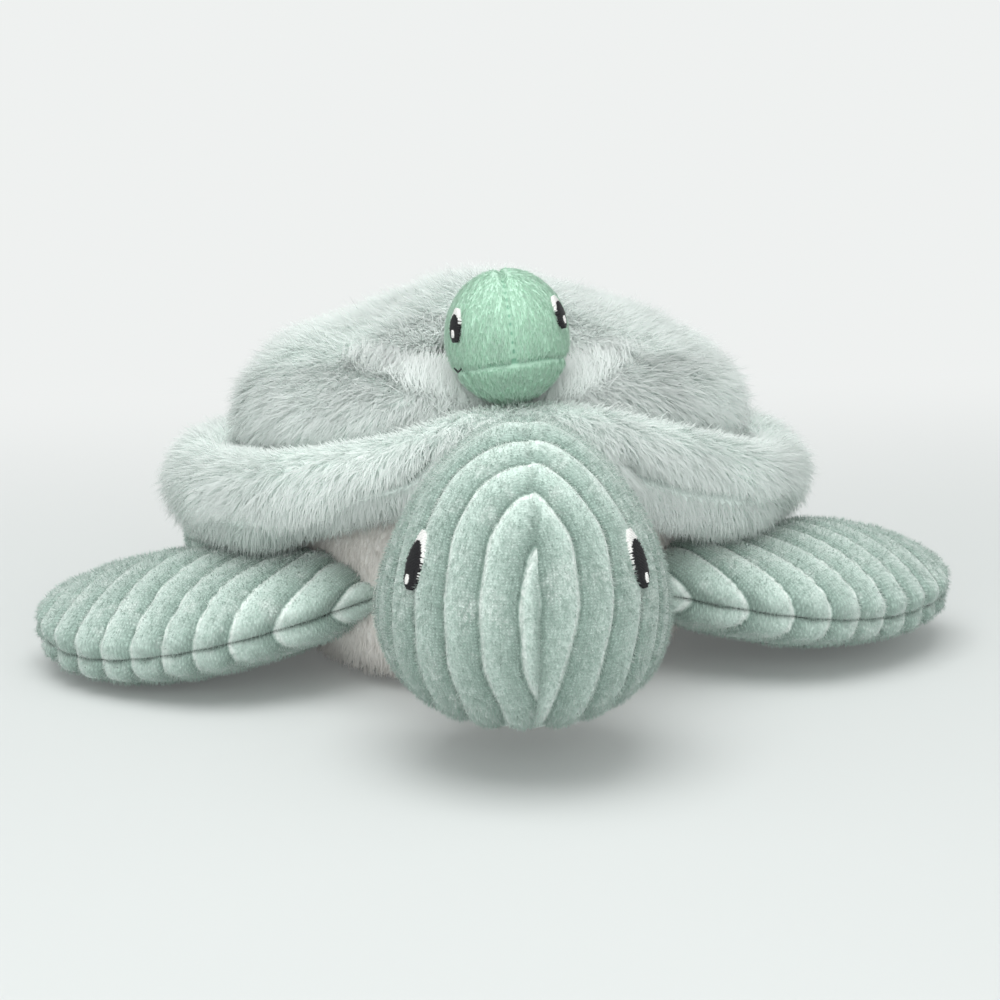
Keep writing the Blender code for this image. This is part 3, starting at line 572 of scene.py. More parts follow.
furLook = {
    "root": (0.825, 0.890, 0.860),
    "middle": (0.920, 0.965, 0.944),
    "tip": (0.950, 0.980, 0.966),
    "sheen": 0.35,
    "sheenTint": (0.95, 1.0, 0.98),
    "spread": 0.13,
    "backing": (0.760, 0.840, 0.806),
}
plushLook = {
    "root": (0.80, 0.78, 0.75),
    "middle": (0.88, 0.86, 0.83),
    "tip": (0.91, 0.89, 0.87),
    "sheen": 0.25,
    "sheenTint": white,
    "spread": 0.05,
    "backing": (0.80, 0.785, 0.755),
}
mintTips = {
    "root": (0.355, 0.575, 0.435),
    "middle": (0.510, 0.725, 0.592),
    "tip": (0.700, 0.845, 0.760),
    "sheen": 0.60,
    "sheenTint": white,
    "spread": 0.10,
}


def makeStrands(name, look):
    material, tree, shader = startMaterial(name, look["middle"], 0.80, look["sheen"],
                                           look["sheenTint"])
    along = rampNode(tree, attributeNode(tree, "strandPlace"),
                     [(0.0, look["root"]), (0.38, look["middle"]), (1.0, look["tip"])])
    own = shadeNode(tree, along, attributeNode(tree, "strandTone"), 1 - look["spread"],
                    1 + look["spread"])
    letThrough(tree, shader, shadeNode(tree, own, noiseNode(tree, 38), 0.90, 1.10))
    return material


def makeBacking(name, colour, sheenTint, fineScale=900):
    # the cloth under a pile
    material, tree, shader = startMaterial(name, colour, 0.95, 0.2, sheenTint)
    fine = noiseNode(tree, fineScale, 2.0, 0.6)
    uneven = shadeNode(tree, colour, noiseNode(tree, 60), 0.88, 1.12)
    tree.links.new(shadeNode(tree, uneven, fine, 0.85, 1.15), shader.inputs["Base Color"])
    bumpNode(tree, shader, fine, 0.5, 0.0006)
    return material


mintLook = {
    "pile": (0.440, 0.665, 0.525),
    "shaded": (0.405, 0.620, 0.485),
    "seam": (0.200, 0.400, 0.285),
    "plain": (0.374, 0.616, 0.466),
    "sheenTint": (0.88, 1.0, 0.93),
    "streakScale": 420,
    "streakStretch": (1.0, 1.0, 0.22),
    "patchScale": 90,
}


def makeMint():
    material, tree, shader = startMaterial("mintShortPile", mintLook["plain"], 0.80, 0.35,
                                           mintLook["sheenTint"])
    seam = rampNode(tree, attributeNode(tree, "seamPlace"),
                    [(0.0, mintLook["pile"]), (0.5, mintLook["shaded"]),
                     (1.0, mintLook["seam"])])
    streaks = noiseNode(tree, mintLook["streakScale"], 2.0, 0.6, mintLook["streakStretch"])
    streaked = shadeNode(tree, seam, streaks, 0.78, 1.22)
    patches = noiseNode(tree, mintLook["patchScale"])
    uneven = shadeNode(tree, streaked, patches, 0.90, 1.10)
    tree.links.new(uneven, shader.inputs["Base Color"])
    bumpNode(tree, shader, streaks, 0.5, 0.0005)
    return material


def makeThread(name, colour, sheenTint):
    material, tree, shader = startMaterial(name, colour, 0.42, 0.25, sheenTint, 0.3)
    strands = noiseNode(tree, 2600, 2.0, 0.6, (1.0, 1.0, 3.5))
    tree.links.new(shadeNode(tree, colour, strands, 0.70, 1.30), shader.inputs["Base Color"])
    bumpNode(tree, shader, strands, 0.4, 0.0002)
    return material


liningLook = {"colour": (0.64, 0.72, 0.68), "sheenTint": (0.95, 1.0, 0.97), "fineScale": 1400}
threadLook = {"black": (0.016, 0.016, 0.018), "blackTint": (0.5, 0.5, 0.5),
              "white": (0.84, 0.84, 0.82)}

cordCloth = makeCord()
furStrands = makeStrands("sageLongPile", furLook)
cordNap = makeCordNap()
furBacking = makeBacking("sagePileBacking", furLook["backing"], furLook["sheenTint"])
plushStrands = makeStrands("whitePlushPile", plushLook)
plushBacking = makeBacking("whitePlushBacking", plushLook["backing"], white)
mintCloth = makeMint()
mintStrands = makeStrands("mintPileTips", mintTips)
liningCloth = makeBacking("pocketLiningKnit", liningLook["colour"], liningLook["sheenTint"],
                          liningLook["fineScale"])
blackThread = makeThread("blackSatinThread", threadLook["black"], threadLook["blackTint"])
whiteThread = makeThread("whiteSatinThread", threadLook["white"], white)
print("materials made")


# Mother's head

head = {
    "centre": (0, -0.139, 0.054),
    "halfWidth": 0.0488,
    "frontDepth": 0.048,
    "backDepth": 0.042,
    "rise": 0.0640,
    "drop": 0.0396,
    "risePower": 1.65,
    "dropPower": 2.15,
    "chinLift": -68.0,
    "restTurn": -6.0,
    "neckPlace": (0, -0.088, 0.040),
    "ribPitch": 0.013,
    "ribStart": {1: 0.0133, -1: 0.0090},
    "ribDepth": 0.0026,
    "seamTurn": 4.0,
    "ribLifts": [-66, -35, -10, 15, 35, 50, 62, 74, 90],
    "ribClimb": {1: [11.5, 8.9, 4.4, -0.2, 1.4, 13.3, 28.4, 43.8, 57.9],
                 -1: [15.0, 10.5, 3.4, 2.6, 9.0, 22.4, 39.0, 53.5, 66.3]},
    "ribRound": {1: [1.4, 0.5, 0.0, 0.5, 0.6, 1.6, 5.0, 10.0, 15.6],
                 -1: [1.3, 0.9, 0.4, 0.9, 4.1, 8.1, 12.1, 16.0, 20.9]},
    "columns": 210,
    "rows": 190,
    "napCount": 66000,
    "fillingInset": 0.0058,
    "chinRibShift": 0.004,
    "wander": 0.0006,
    "wanderScale": 0.028,
    "plump": 0.0006,
    "plumpScale": 0.035,
    "uneven": 0.24,
    "unevenScale": 0.03,
    "leastRib": 0.88,
    "eyeFlat": 0.55,
    "eyeDrop": 0.0004,
    "seamWidth": 0.0016,
    "backSeamWidth": 0.0020,
    "seamDepth": 0.0014,
    "jawWidth": 0.0030,
    "jawPleat": 0.0038,
    "jawDepth": 0.0030,
    "chinDepth": 0.0032,
    "edgeWidth": 0.0024,
    "edgeDepth": 0.0013,
    "foldWidths": (0.0008, 0.0009, 0.0016),
    "foldShades": (0.5, 0.75),
    "tone": 0.62,
    "crownLightTone": 0.38,
    "crownBelow": 0.008,
    "patchTone": 0.08,
    "patchScale": 0.02,
}
headTurn = aboutPlace(head["neckPlace"], degreesTurn(head["restTurn"], "Z"))

eyes = {
    "turn": 54.5,
    "height": 0.0268,
    "margin": 0.0012,
    "lean": 0.14,
    "whiteWide": 0.0040,
    "whiteHigh": 0.0088,
    "whiteDrop": -0.0010,
    "pupilWide": 0.0041,
    "pupilHigh": 0.0081,
    "pupilDrop": 0.0017,
    "glintWide": 0.0009,
    "glintHigh": 0.0017,
    "glintDrop": 0.0062,
    "stitch": 0.00046,
    "thread": 0.0007,
    "raise": 0.0002,
}

napPile = {"segments": 1, "length": 0.0017, "width": 0.00026, "lift": 1.0, "liftSpread": 0.25,
           "swirlScale": 0.02, "swirl": 0.8, "stray": 0.6, "droop": 0.1, "lay": 0.0,
           "press": 0.0, "crimp": 0.1, "clump": 0.0, "softNormal": 0.8}


def growNap(name, body, matrix, parts, seed):
    # one short pile over ribbed panels; each part has its roots, ways, rib shares and tones
    roots, ways, share, paintedLightAndPatches = joinParts(parts)
    share = share - np.floor(share)
    # the nap carries the ribs' painted shade and highlight, and the panels' painted light and
    # random patches
    tones = np.where(share > 0.94, 0.55, 0.06 + 0.94 * share) + 0.8 * (paintedLightAndPatches - 0.55)
    pile = growPile(name, *placedRoots(roots, ways, matrix), np.array((0, -0.2, -1.0)), napPile,
                    cordNap, seed, (), tones)
    ownedBy(pile, body, "cord")


def eggPoints(shape, lift, turn, inset=0.0):
    power = np.where(lift > 0, shape["risePower"], shape["dropPower"])
    sine = np.sin(lift)
    reach = np.abs(np.cos(lift)) ** (2 / power)
    climb = np.sign(sine) * np.abs(sine) ** (2 / power)
    height = (np.where(lift > 0, shape["rise"], shape["drop"]) - inset) * climb
    depth = np.where(np.cos(turn) > 0, shape["frontDepth"], shape["backDepth"]) - inset
    width = shape["halfWidth"] - inset
    place = np.stack([width * reach * np.sin(turn), -depth * reach * np.cos(turn), height], -1)
    return place + np.array(shape["centre"])


def pushFromEgg(shape, matrix, room):
    # moves points out of the egg, with some room round it
    back = matrix.inverted()
    centre = np.array(shape["centre"])

    def push(points):
        local = turned(points, back) - centre
        high = local[..., 2]
        depth = np.where(local[..., 1] < 0, shape["frontDepth"], shape["backDepth"]) + room
        reach = np.sqrt((local[..., 0] / (shape["halfWidth"] + room)) ** 2
                        + (local[..., 1] / depth) ** 2)
        climb = np.abs(high) / (np.where(high > 0, shape["rise"], shape["drop"]) + room)
        power = np.where(high > 0, shape["risePower"], shape["dropPower"])
        level = (reach ** power + climb ** power) ** (1 / power)
        grow = np.where(level < 1, 1 / np.maximum(level, 0.2), 1)
        return turned(local * grow[..., None] + centre, matrix)
    return push


def ribHeight(phase, pitch, depth):
    # a rounded rib with a narrow valley on each side, and how near the valley is
    share = phase / pitch - np.floor(phase / pitch)
    place = np.abs(2 * share ** 0.82 - 1)
    return -depth * (0.35 * place ** 2 + 0.65 * place ** 8), place


def nearEyes(lift, turn, eye, shape):
    # 1 on the embroidery, 0 well away from it
    eyeLift = math.asin(eye["height"] / shape["rise"])
    high = (lift - eyeLift) * shape["rise"]
    wide = (np.abs(turn) - math.radians(eye["turn"])) * shape["halfWidth"]
    away = np.sqrt((high / (eye["whiteHigh"] + eye["margin"])) ** 2
                   + (wide / (eye["whiteWide"] + eye["margin"])) ** 2)
    return 1 - smoothStep((away - 0.75) / 0.7)


def smoothRows(values, lifts):
    # the listed millimetres at each lift, with the corners rounded
    fine = np.linspace(math.radians(head["ribLifts"][0]), quarterTurn, 240)
    line = np.interp(np.degrees(fine), head["ribLifts"], values)
    padded = np.concatenate([np.full(12, line[0]), line, np.full(12, line[-1])])
    line = np.convolve(padded, np.hanning(25) / np.hanning(25).sum(), mode="valid")
    return np.interp(lifts, fine, line) * mm


def makeHeadPanel(side, word):
    lifts = np.linspace(math.radians(head["chinLift"]), quarterTurn, head["rows"])
    turns = math.radians(head["seamTurn"]) + side * np.linspace(0, math.pi, head["columns"])
    lift, turn = gridOf(lifts, turns)
    points = eggPoints(head, lift, turn)
    across = rowLengths(points, 1)
    toBack = across[:, -1:] - across
    upward = rowLengths(points, 0)
    climb = smoothRows(head["ribClimb"][side], lift)
    arch = smoothRows(head["ribRound"][side], lift)
    wander = softNoise(points, head["wanderScale"], 3 + side) * head["wander"]
    phase = (climb + np.sqrt(across ** 2 + arch ** 2) - arch + wander
             - head["ribStart"][side])
    height, place = ribHeight(phase, head["ribPitch"], head["ribDepth"])
    # flatter under the embroidery, uneven elsewhere
    flat = nearEyes(lift, turn, eyes, head)
    height = height * (1 - head["eyeFlat"] * flat) - head["eyeDrop"] * flat
    height *= head["leastRib"] + head["uneven"] * softNoise(points, head["unevenScale"], 11)
    plump = head["plump"] * softNoise(points, head["plumpScale"], 21)
    # drawn in at the middle seam, the back seam and the jaw
    seam = bell(across, head["seamWidth"]) + 0.8 * bell(toBack, head["backSeamWidth"])
    seam = seam * (0.55 + 0.45 * smoothStep((0.2 - lift) / 0.8))
    jaw = bell(upward, head["jawWidth"] + head["jawPleat"] * place)
    height = height + plump - head["seamDepth"] * seam - head["jawDepth"] * jaw
    joined = smoothStep(np.minimum(across, toBack) / head["edgeWidth"])
    height = height * joined - head["edgeDepth"] * (1 - joined)
    moved = raised(points, height, False, head["centre"])
    low = 0.25 + 0.35 * smoothStep((0.5 - lift) / 0.9)
    middleWidth, backWidth, jawWidth = head["foldWidths"]
    backShade, jawShade = head["foldShades"]
    shade = np.maximum(low * bell(across, middleWidth), backShade * bell(toBack, backWidth))
    shade = np.maximum(shade, jawShade * bell(upward, jawWidth))
    # painted light: the top of the head is lighter; the patches are random changes of tone
    top = smoothStep((points[..., 2] - head["centre"][2] + head["crownBelow"])
                     / head["rise"])
    tone = (head["tone"] + head["crownLightTone"] * top ** 3
            + head["patchTone"] * softNoise(points, head["patchScale"], 31))
    ribShare = phase / head["ribPitch"]
    piece = gridPiece("headPanel" + word.capitalize(), moved, cordCloth, head["centre"], headTurn,
                      lastPole=True, values={"foldPlace": shade, "tone": tone,
                                             "ribShare": ribShare, "ribAlong": upward})
    ownedBy(piece, "head", "cord", "head_panel_" + word, fill=0.85)
    stitched = nearEyes(lift, turn, dict(eyes, margin=0), head)
    *found, bare = scatterRoots(
        moved[3:], False, head["napCount"] // 2, np.random.default_rng(510 + side),
        head["centre"], values=(ribShare[3:], tone[3:], stitched[3:]))
    return [value[bare < 0.4] for value in found]


def makeHead():
    growNap("headNap", "head", headTurn, [makeHeadPanel(*side) for side in sides], 512)
    # the stuffing behind the seams
    lift, turn = gridOf(np.linspace(-quarterTurn, quarterTurn, 41), ring(64))
    core = gridPiece("headFilling", eggPoints(head, lift, turn, head["fillingInset"]), furBacking,
                     head["centre"], headTurn, closed=True, firstPole=True, lastPole=True)
    ownedBy(core, "head", "stuffing", "head_filling", fill=0.85)


def makeChinPanel():
    lift, turn = gridOf(np.linspace(-quarterTurn, math.radians(head["chinLift"]), 44), ring(160))
    points = eggPoints(head, lift, turn)
    edge = rowLengths(points, 0)
    edge = edge[-1:] - edge
    phase = points[..., 0] + head["chinRibShift"]
    height = ribHeight(phase, head["ribPitch"], head["ribDepth"] * 0.6)[0]
    height = height - head["chinDepth"] * bell(edge, head["jawWidth"])
    tone = head["tone"] + head["patchTone"] * softNoise(points, head["patchScale"], 33)
    piece = gridPiece("chinPanel", raised(points, height, True, head["centre"]), cordCloth,
                      head["centre"], headTurn, closed=True, firstPole=True,
                      values={"foldPlace": 0.75 * bell(edge, 0.0016), "tone": tone,
                              "ribShare": phase / head["ribPitch"], "ribAlong": points[..., 1]})
    ownedBy(piece, "head", "cord", "chin_panel", fill=0.85)


satin = {"jag": 0.20, "edgePower": 2.2, "pinch": 0.05, "roundShare": 0.6, "roundPower": 0.7,
         "edgeDepth": 0.0009, "columns": 25}


def threadPatch(name, shape, look, matrix, place, size, base, material):
    # rows of satin stitch that fill an oval on a curved cloth
    lift, turn = place
    wide, high = size
    count = max(int(round(2 * high / look["stitch"])), 3)
    rowShare, columnShare = gridOf(np.linspace(-1, 1, count * 6 + 1),
                                   np.linspace(-1, 1, satin["columns"]))
    row = np.clip(np.floor((rowShare + 1) / 2 * count), 0, count - 1)
    # a scattered number for each row
    jag = np.sin(row * 12.9898 + turn * 7) * 43758.5453
    jag = (jag - np.floor(jag) - 0.5) * satin["jag"] * wide
    middle = (row + 0.5) / count * 2 - 1
    wave = np.sin((rowShare + 1) / 2 * count * math.pi)
    oval = np.sqrt(np.clip(1 - np.abs(middle) ** satin["edgePower"], 0.02, 1))
    halfWide = (wide * oval + jag) * (1 - satin["pinch"] * np.abs(wave - 1))
    upward = high * rowShare
    newLift = lift + upward / shape["rise"]
    sideways = halfWide * columnShare + math.copysign(look["lean"], turn) * upward
    newTurn = turn + sideways / shape["halfWidth"] / np.maximum(np.cos(newLift), 0.3) ** 0.6
    dome = np.sqrt(np.clip(1 - np.abs(columnShare) ** 4, 0, 1))
    thread = look["thread"] * satin["roundShare"] * np.abs(wave) ** satin["roundPower"] * dome
    height = base + look["raise"] * dome + thread
    # the edge of the patch goes down into the cloth
    outermost = np.maximum(np.abs(columnShare), np.abs(rowShare)) > 0.999
    height = np.where(outermost, -satin["edgeDepth"], height)
    surface = eggPoints(shape, newLift, newTurn)
    return gridPiece(name, raised(surface, height, False, shape["centre"]), material,
                     shape["centre"], matrix)


def makeEyes(prefix, shape, look, matrix, body, nodePrefix):
    for side, word in sides:
        turn = side * math.radians(look["turn"])
        for level, (part, slot, thread) in enumerate((("white", "white_thread", whiteThread),
                                                      ("pupil", "black_thread", blackThread),
                                                      ("glint", "white_thread", whiteThread))):
            lift = math.asin((look["height"] - look[part + "Drop"]) / shape["rise"])
            piece = threadPatch(
                prefix + "Eye" + part.capitalize() + word.capitalize(), shape, look, matrix,
                (lift, turn), (look[part + "Wide"], look[part + "High"]),
                level * look["thread"] * 0.75, thread)
            ownedBy(piece, body, slot, nodePrefix + "eye_" + part + "_" + word)


makeHead()
makeChinPanel()
makeEyes("mother", head, eyes, headTurn, "head", "")
print("mother's head made")


# Flippers

belly = {
    "halfWidth": 0.082,
    "halfLength": 0.086,
    "centreY": 0.004,
    "height": 0.057,
    "sideHeight": 0.028,
    "restShare": 0.66,
    "topShare": 0.97,
    "inset": 0.0025,
    "middle": (0, 0.004, 0.03),
    "pileCount": 26000,
    "pileFloor": 0.0008,
    "pileStart": 0.0035,
    "wallStart": 0.002,
    "wallOver": 0.008,
    "lumpScale": 0.022,
    "lump": 0.0011,
    "neckLump": 0.0006,
    "neckPileLength": 0.0034,
    "neckPlace": (0, -0.088, 0.040),
    "neckRadius": 0.0208,
    "neckPileCount": 3200,
}
rearEnd = {"bend": (0.091, 0.114, 0.013), "tip": (0.110, 0.143, 0.010), "bank": 0.0}
flippers = {
    "napCount": 30000,
    "nappedRows": (16, -4),
    "seat": -0.010,
    "rootFade": 0.005,
    "floor": 0.0006,
    "rootChordShare": 0.64,
    "wideShare": 0.45,
    "tipPower": 2.3,
    "swellStart": 0.05,
    "swellEnd": 0.70,
    "ribPitch": 0.0128,
    "ribDepth": 0.0024,
    "ribShift": 0.004,
    "ribWay": (0.809, 0.588),
    "wander": 0.0012,
    "plump": 0.0012,
    "lumpScale": 0.030,
    "uneven": 0.25,
    "unevenScale": 0.025,
    "leastRib": 0.9,
    "puff": 0.0010,
    "puffPlace": 0.007,
    "puffWidth": 0.004,
    "seamWidth": 0.0022,
    "seamPleat": 0.0034,
    "seamDepth": 0.0026,
    "tuck": 0.0012,
    "tone": 0.76,
    "patchTone": 0.10,
    "undersideShade": 0.12,
    "patchScale": 0.02,
    "foldShade": 0.8,
    "foldWidth": 0.0011,
    "tipRoom": 0.001,
    "rows": 150,
    "columns": 90,
    "front": {"rootTurn": 55.0, "rootHeight": 0.036, "lead": 0.044, "leadDrop": 0.010,
              "halfChord": 0.0410, "halfThickness": 0.0205, "rootThickness": 0.0165,
              "left": {"bend": (0.134, -0.018, 0.0295), "tip": (0.1775, -0.014, 0.0235),
                       "bank": 9.5},
              "right": {"bend": (0.124, -0.016, 0.022), "tip": (0.1725, -0.0135, 0.018),
                        "bank": 12.0}},
    "rear": {"rootTurn": 142.0, "rootHeight": 0.028, "lead": 0.040, "leadDrop": 0.004,
             "halfChord": 0.026, "halfThickness": 0.012, "rootThickness": 0.010,
             "left": rearEnd, "right": rearEnd},
}


def bezierAt(points, share):
    share = share[..., None]
    rest = 1 - share
    return (points[0] * rest ** 3 + points[1] * 3 * rest ** 2 * share
            + points[2] * 3 * rest * share ** 2 + points[3] * share ** 3)


def bezierAcross(points, share):
    # level, and square to the way along the curve
    share = share[..., None]
    rest = 1 - share
    way = unit((points[1] - points[0]) * rest ** 2 + (points[2] - points[1]) * 2 * rest * share
               + (points[3] - points[2]) * share ** 2)
    return unit(np.cross(way, up))


def leafSection(along, points, look):
    # half the width and half the thickness of a stuffed leaf, and how far it has swelled
    samples = bezierAt(points, np.linspace(0, 1, 10))
    length = np.linalg.norm(np.diff(samples, axis=0), axis=-1).sum()
    wide = flippers["wideShare"]
    towardTip = np.clip((along - wide) / (1 - wide), 0, 1)
    rootShare = flippers["rootChordShare"]
    chord = look["halfChord"] * (rootShare + (1 - rootShare) * smoothStep(along / wide))
    chord = chord * (1 - towardTip ** flippers["tipPower"]) ** (1 / flippers["tipPower"])
    swell = smoothStep((along - flippers["swellStart"])
                       / (flippers["swellEnd"] - flippers["swellStart"]))
    thick = look["rootThickness"] + (look["halfThickness"] - look["rootThickness"]) * swell
    thick = thick * np.sqrt(1 - towardTip ** 2)
    fromRoot = along * length / look["rootThickness"]
    thick = thick * np.where(fromRoot < 1, np.sqrt(np.clip(1 - (1 - fromRoot) ** 2, 0, 1)), 1)
    return chord, thick, swell


def wallPoint(turn, height):
    # the belly's side at that height, as in the solid model
    below = max(1 - height / belly["sideHeight"], 0)
    share = belly["restShare"] + (1 - belly["restShare"]) * math.sqrt(1 - below ** 2)
    return np.array((belly["halfWidth"] * share * math.sin(turn),
                     belly["centreY"] - belly["halfLength"] * share * math.cos(turn), height))


def flipperCurve(side, look, own):
    turn = math.radians(look["rootTurn"])
    outward = unit(np.array((math.sin(turn) / belly["halfWidth"],
                             -math.cos(turn) / belly["halfLength"], 0)))
    root = wallPoint(turn, look["rootHeight"]) + outward * flippers["seat"]
    second = root + outward * look["lead"] - np.array((0, 0, look["leadDrop"]))
    mirror = np.array((side, 1, 1))
    return [point * mirror for point in (root, second, np.array(own["bend"]),
                                         np.array(own["tip"]))]


def flipperSurface(curve, along, angle, look, bank):
    chord, thick, swell = leafSection(along, curve, look)
    across = bezierAcross(curve, along)
    lean = (bank * swell)[..., None]
    edge = across * np.cos(lean) - up * np.sin(lean)
    crown = up * np.cos(lean) + across * np.sin(lean)
    return (bezierAt(curve, along) + edge * (chord * np.cos(angle))[..., None]
            + crown * (thick * np.sin(angle))[..., None])


def makeFlipper(name, node, side, look, own):
    curve = flipperCurve(side, look, own)
    middle = bezierAt(curve, np.array(0.5))
    alongs = 0.5 - 0.5 * np.cos(np.linspace(0, math.pi, flippers["rows"]))
    size = look["halfThickness"] / flippers["front"]["halfThickness"]
    wayX, wayY = flippers["ribWay"]
    napped = slice(*flippers["nappedRows"])
    leaves = []
    nap = []
    for half, word in ((0, "Top"), (1, "Bottom")):
        along, angle = gridOf(alongs, math.pi * (half + np.linspace(0, 1, flippers["columns"])))
        points = flipperSurface(curve, along, angle, look, math.radians(own["bank"]) * side)
        normals = gridNormals(points, False, middle)[0]
        across = rowLengths(points, 1)
        fromRoot = rowLengths(points, 0)
        edge = np.minimum(across, across[:, -1:] - across)
        edge = np.minimum(edge, (fromRoot[-1:] - fromRoot) + flippers["tipRoom"])
        phase = points[..., 0] * side * wayX + points[..., 1] * wayY
        wander = softNoise(points * np.array((1, 1, 0)), flippers["lumpScale"], 5 + side)
        phase = phase + flippers["wander"] * wander + flippers["ribShift"]
        height, place = ribHeight(phase, flippers["ribPitch"],
                                  flippers["ribDepth"] * (0.55 + 0.45 * size))
        uneven = softNoise(points, flippers["unevenScale"], 8 + half)
        height *= flippers["leastRib"] + flippers["uneven"] * uneven
        lumps = softNoise(points, flippers["lumpScale"], 14 + side)
        plump = flippers["plump"] * size * lumps
        seam = bell(edge, flippers["seamWidth"] + flippers["seamPleat"] * place * size)
        beside = bell(edge - flippers["puffPlace"], flippers["puffWidth"])
        puff = flippers["puff"] * size * beside * (1 - place ** 2)
        height = (height * (1 - 0.5 * seam) + plump + puff
                  - flippers["seamDepth"] * (0.6 + 0.4 * size) * seam)
        # the root lies smooth in the body's side
        settled = smoothStep(fromRoot / flippers["rootFade"])
        tuck = np.where(edge < 1e-6, flippers["tuck"], 0) * settled
        moved = points + normals * (height * settled)[..., None] - normals * tuck[..., None]
        moved[..., 2] = np.maximum(moved[..., 2], flippers["floor"])
        leaves.append(moved)
        # painted shade on the bottom panel; the patches are random changes of tone
        patches = softNoise(points, flippers["patchScale"], 41)
        tone = (flippers["tone"] + flippers["patchTone"] * patches
                - flippers["undersideShade"] * half)
        fold = flippers["foldShade"] * bell(edge, flippers["foldWidth"])
        ribShare = phase / flippers["ribPitch"]
        ribAlong = points[..., 0] * side * wayY - points[..., 1] * wayX
        piece = gridPiece(name + word + "Panel", moved, cordCloth, middle, lastPole=True,
                          values={"foldPlace": fold, "tone": tone, "ribShare": ribShare,
                                  "ribAlong": ribAlong})
        nap.append(scatterRoots(moved[napped], False, int(flippers["napCount"] * size / 2),
                                np.random.default_rng(530 + half), middle,
                                values=(ribShare[napped], tone[napped])))
        filling = () if half else (node + "_filling",)
        ownedBy(piece, node, "cord", node + "_" + word.lower() + "_panel", *filling, fill=0.8)
    growNap(name + "Nap", node, Matrix.Identity(4), nap, 540)
    return leaves[0]


flipperTops = [makeFlipper(end + "Flipper" + word.capitalize(), end + "_flipper_" + word, side,
                           flippers[end], flippers[end][word])
               for end in ("front", "rear") for side, word in sides]
print("four flippers made")


furRest = {"every": 7, "reach": 0.095, "centreY": 0.01, "outside": 0.8, "below": 0.062,
           "near": 0.004, "deepest": 0.030}


def liftOverFlippers(room):
    # fur lies on the flippers below it
    tops = np.concatenate([top.reshape(-1, 3)[::furRest["every"]] for top in flipperTops])
    tree = KDTree(len(tops))
    for place, point in enumerate(tops):
        tree.insert((point[0], point[1], 0), place)
    tree.balance()

    def push(points):
        flat = points.reshape(-1, 3).copy()
        outside = np.hypot(flat[:, 0] / furRest["reach"],
                           (flat[:, 1] - furRest["centreY"]) / furRest["reach"])
        low = (flat[:, 2] < furRest["below"]) & (outside > furRest["outside"])
        for index in np.nonzero(low)[0]:
            found = tree.find((flat[index, 0], flat[index, 1], 0))
            floor = tops[found[1], 2] + room
            lowest = floor - furRest["deepest"]
            if found[2] < furRest["near"] and lowest < flat[index, 2] < floor:
                flat[index, 2] = floor
        return flat.reshape(points.shape)
    return push


# Belly and neck: white plush with a short pile

plushPile = {"segments": 2, "length": 0.0052, "width": 0.00042, "lift": 0.75, "liftSpread": 0.25,
             "swirlScale": 0.02, "swirl": 0.7, "stray": 0.5, "droop": 0.30, "lay": 0.0,
             "press": 0.10, "crimp": 0.10, "clump": 0.55, "clumpShare": 0.05,
             "clumpReach": 0.0018, "softNormal": 0.7}


def bellyPoints(step, turn):
    # steps 0 to 1 cross the flat rest, 1 to 2 round the lower side, and above 2 climb it
    along, across = superellipse((np.clip(step, 1, 2) - 1) * quarterTurn, 2)
    lower = belly["restShare"] + (1 - belly["restShare"]) * across
    rest = step - 2
    upper = np.where(step > 3, belly["topShare"] - 0.10 * (step - 3),
                     1 - (1 - belly["topShare"]) * rest ** 2)
    share = np.where(step > 2, upper, np.where(step > 1, lower,
                                               belly["restShare"] * np.minimum(step, 1)))
    height = np.where(step > 2, belly["sideHeight"]
                      + (belly["height"] - belly["sideHeight"]) * rest,
                      np.where(step > 1, belly["sideHeight"] * (1 - along), 0))
    width = (belly["halfWidth"] - belly["inset"]) * share
    length = (belly["halfLength"] - belly["inset"]) * share
    return np.stack([width * np.sin(turn), belly["centreY"] - length * np.cos(turn), height], -1)


def aboveFloor(path):
    path[..., 2] = np.maximum(path[..., 2], belly["pileFloor"])
    return path


def makeBelly():
    steps = np.concatenate([np.linspace(0, 1, 16), np.linspace(1, 2, 26)[1:],
                            np.linspace(2, 3.5, 26)[1:]])
    points = bellyPoints(*gridOf(steps, ring(144)))
    wall = smoothStep((points[..., 2] - belly["wallStart"]) / belly["wallOver"])
    lumps = belly["lump"] * softNoise(points, belly["lumpScale"], 51) * wall
    points = raised(points, lumps, True, belly["middle"])
    points[..., 2] = np.maximum(points[..., 2], 0)
    base = gridPiece("bellyPanel", points, plushBacking, belly["middle"], closed=True,
                     firstPole=True)
    ownedBy(base, "body", "plush", "belly_panel", "body_filling", fill=0.8)
    roots, ways = scatterRoots(points[17:], True, belly["pileCount"], np.random.default_rng(501),
                               belly["middle"], lambda middle: middle[:, 2] > belly["pileStart"])
    pile = growPile("bellyPile", roots, ways, down, plushPile, plushStrands, 502,
                    [aboveFloor, pushFromEgg(head, headTurn, 0.001)])
    ownedBy(pile, "body", "plush")


def ballWays(rows, columns):
    lift, turn = gridOf(np.linspace(-quarterTurn, quarterTurn, rows), ring(columns))
    return np.stack([np.cos(lift) * np.sin(turn), -np.cos(lift) * np.cos(turn), np.sin(lift)], -1)


def makeNeck():
    ways = ballWays(41, 64)
    reach = belly["neckRadius"] + belly["neckLump"] * softNoise(ways * 0.03, 0.012, 52)
    points = np.array(belly["neckPlace"]) + ways * reach[..., None]
    ball = gridPiece("neckRoll", points, plushBacking, belly["neckPlace"], closed=True,
                     firstPole=True, lastPole=True)
    ownedBy(ball, "neck", "plush", "neck", fill=0.8)
    roots, outward = scatterRoots(points[3:-3], True, belly["neckPileCount"],
                                  np.random.default_rng(503), belly["neckPlace"])
    look = dict(plushPile, length=belly["neckPileLength"])
    pile = growPile("neckPile", roots, outward, down, look, plushStrands, 504)
    ownedBy(pile, "neck", "plush")


makeBelly()
makeNeck()
print("belly and neck made")


# Baby turtle

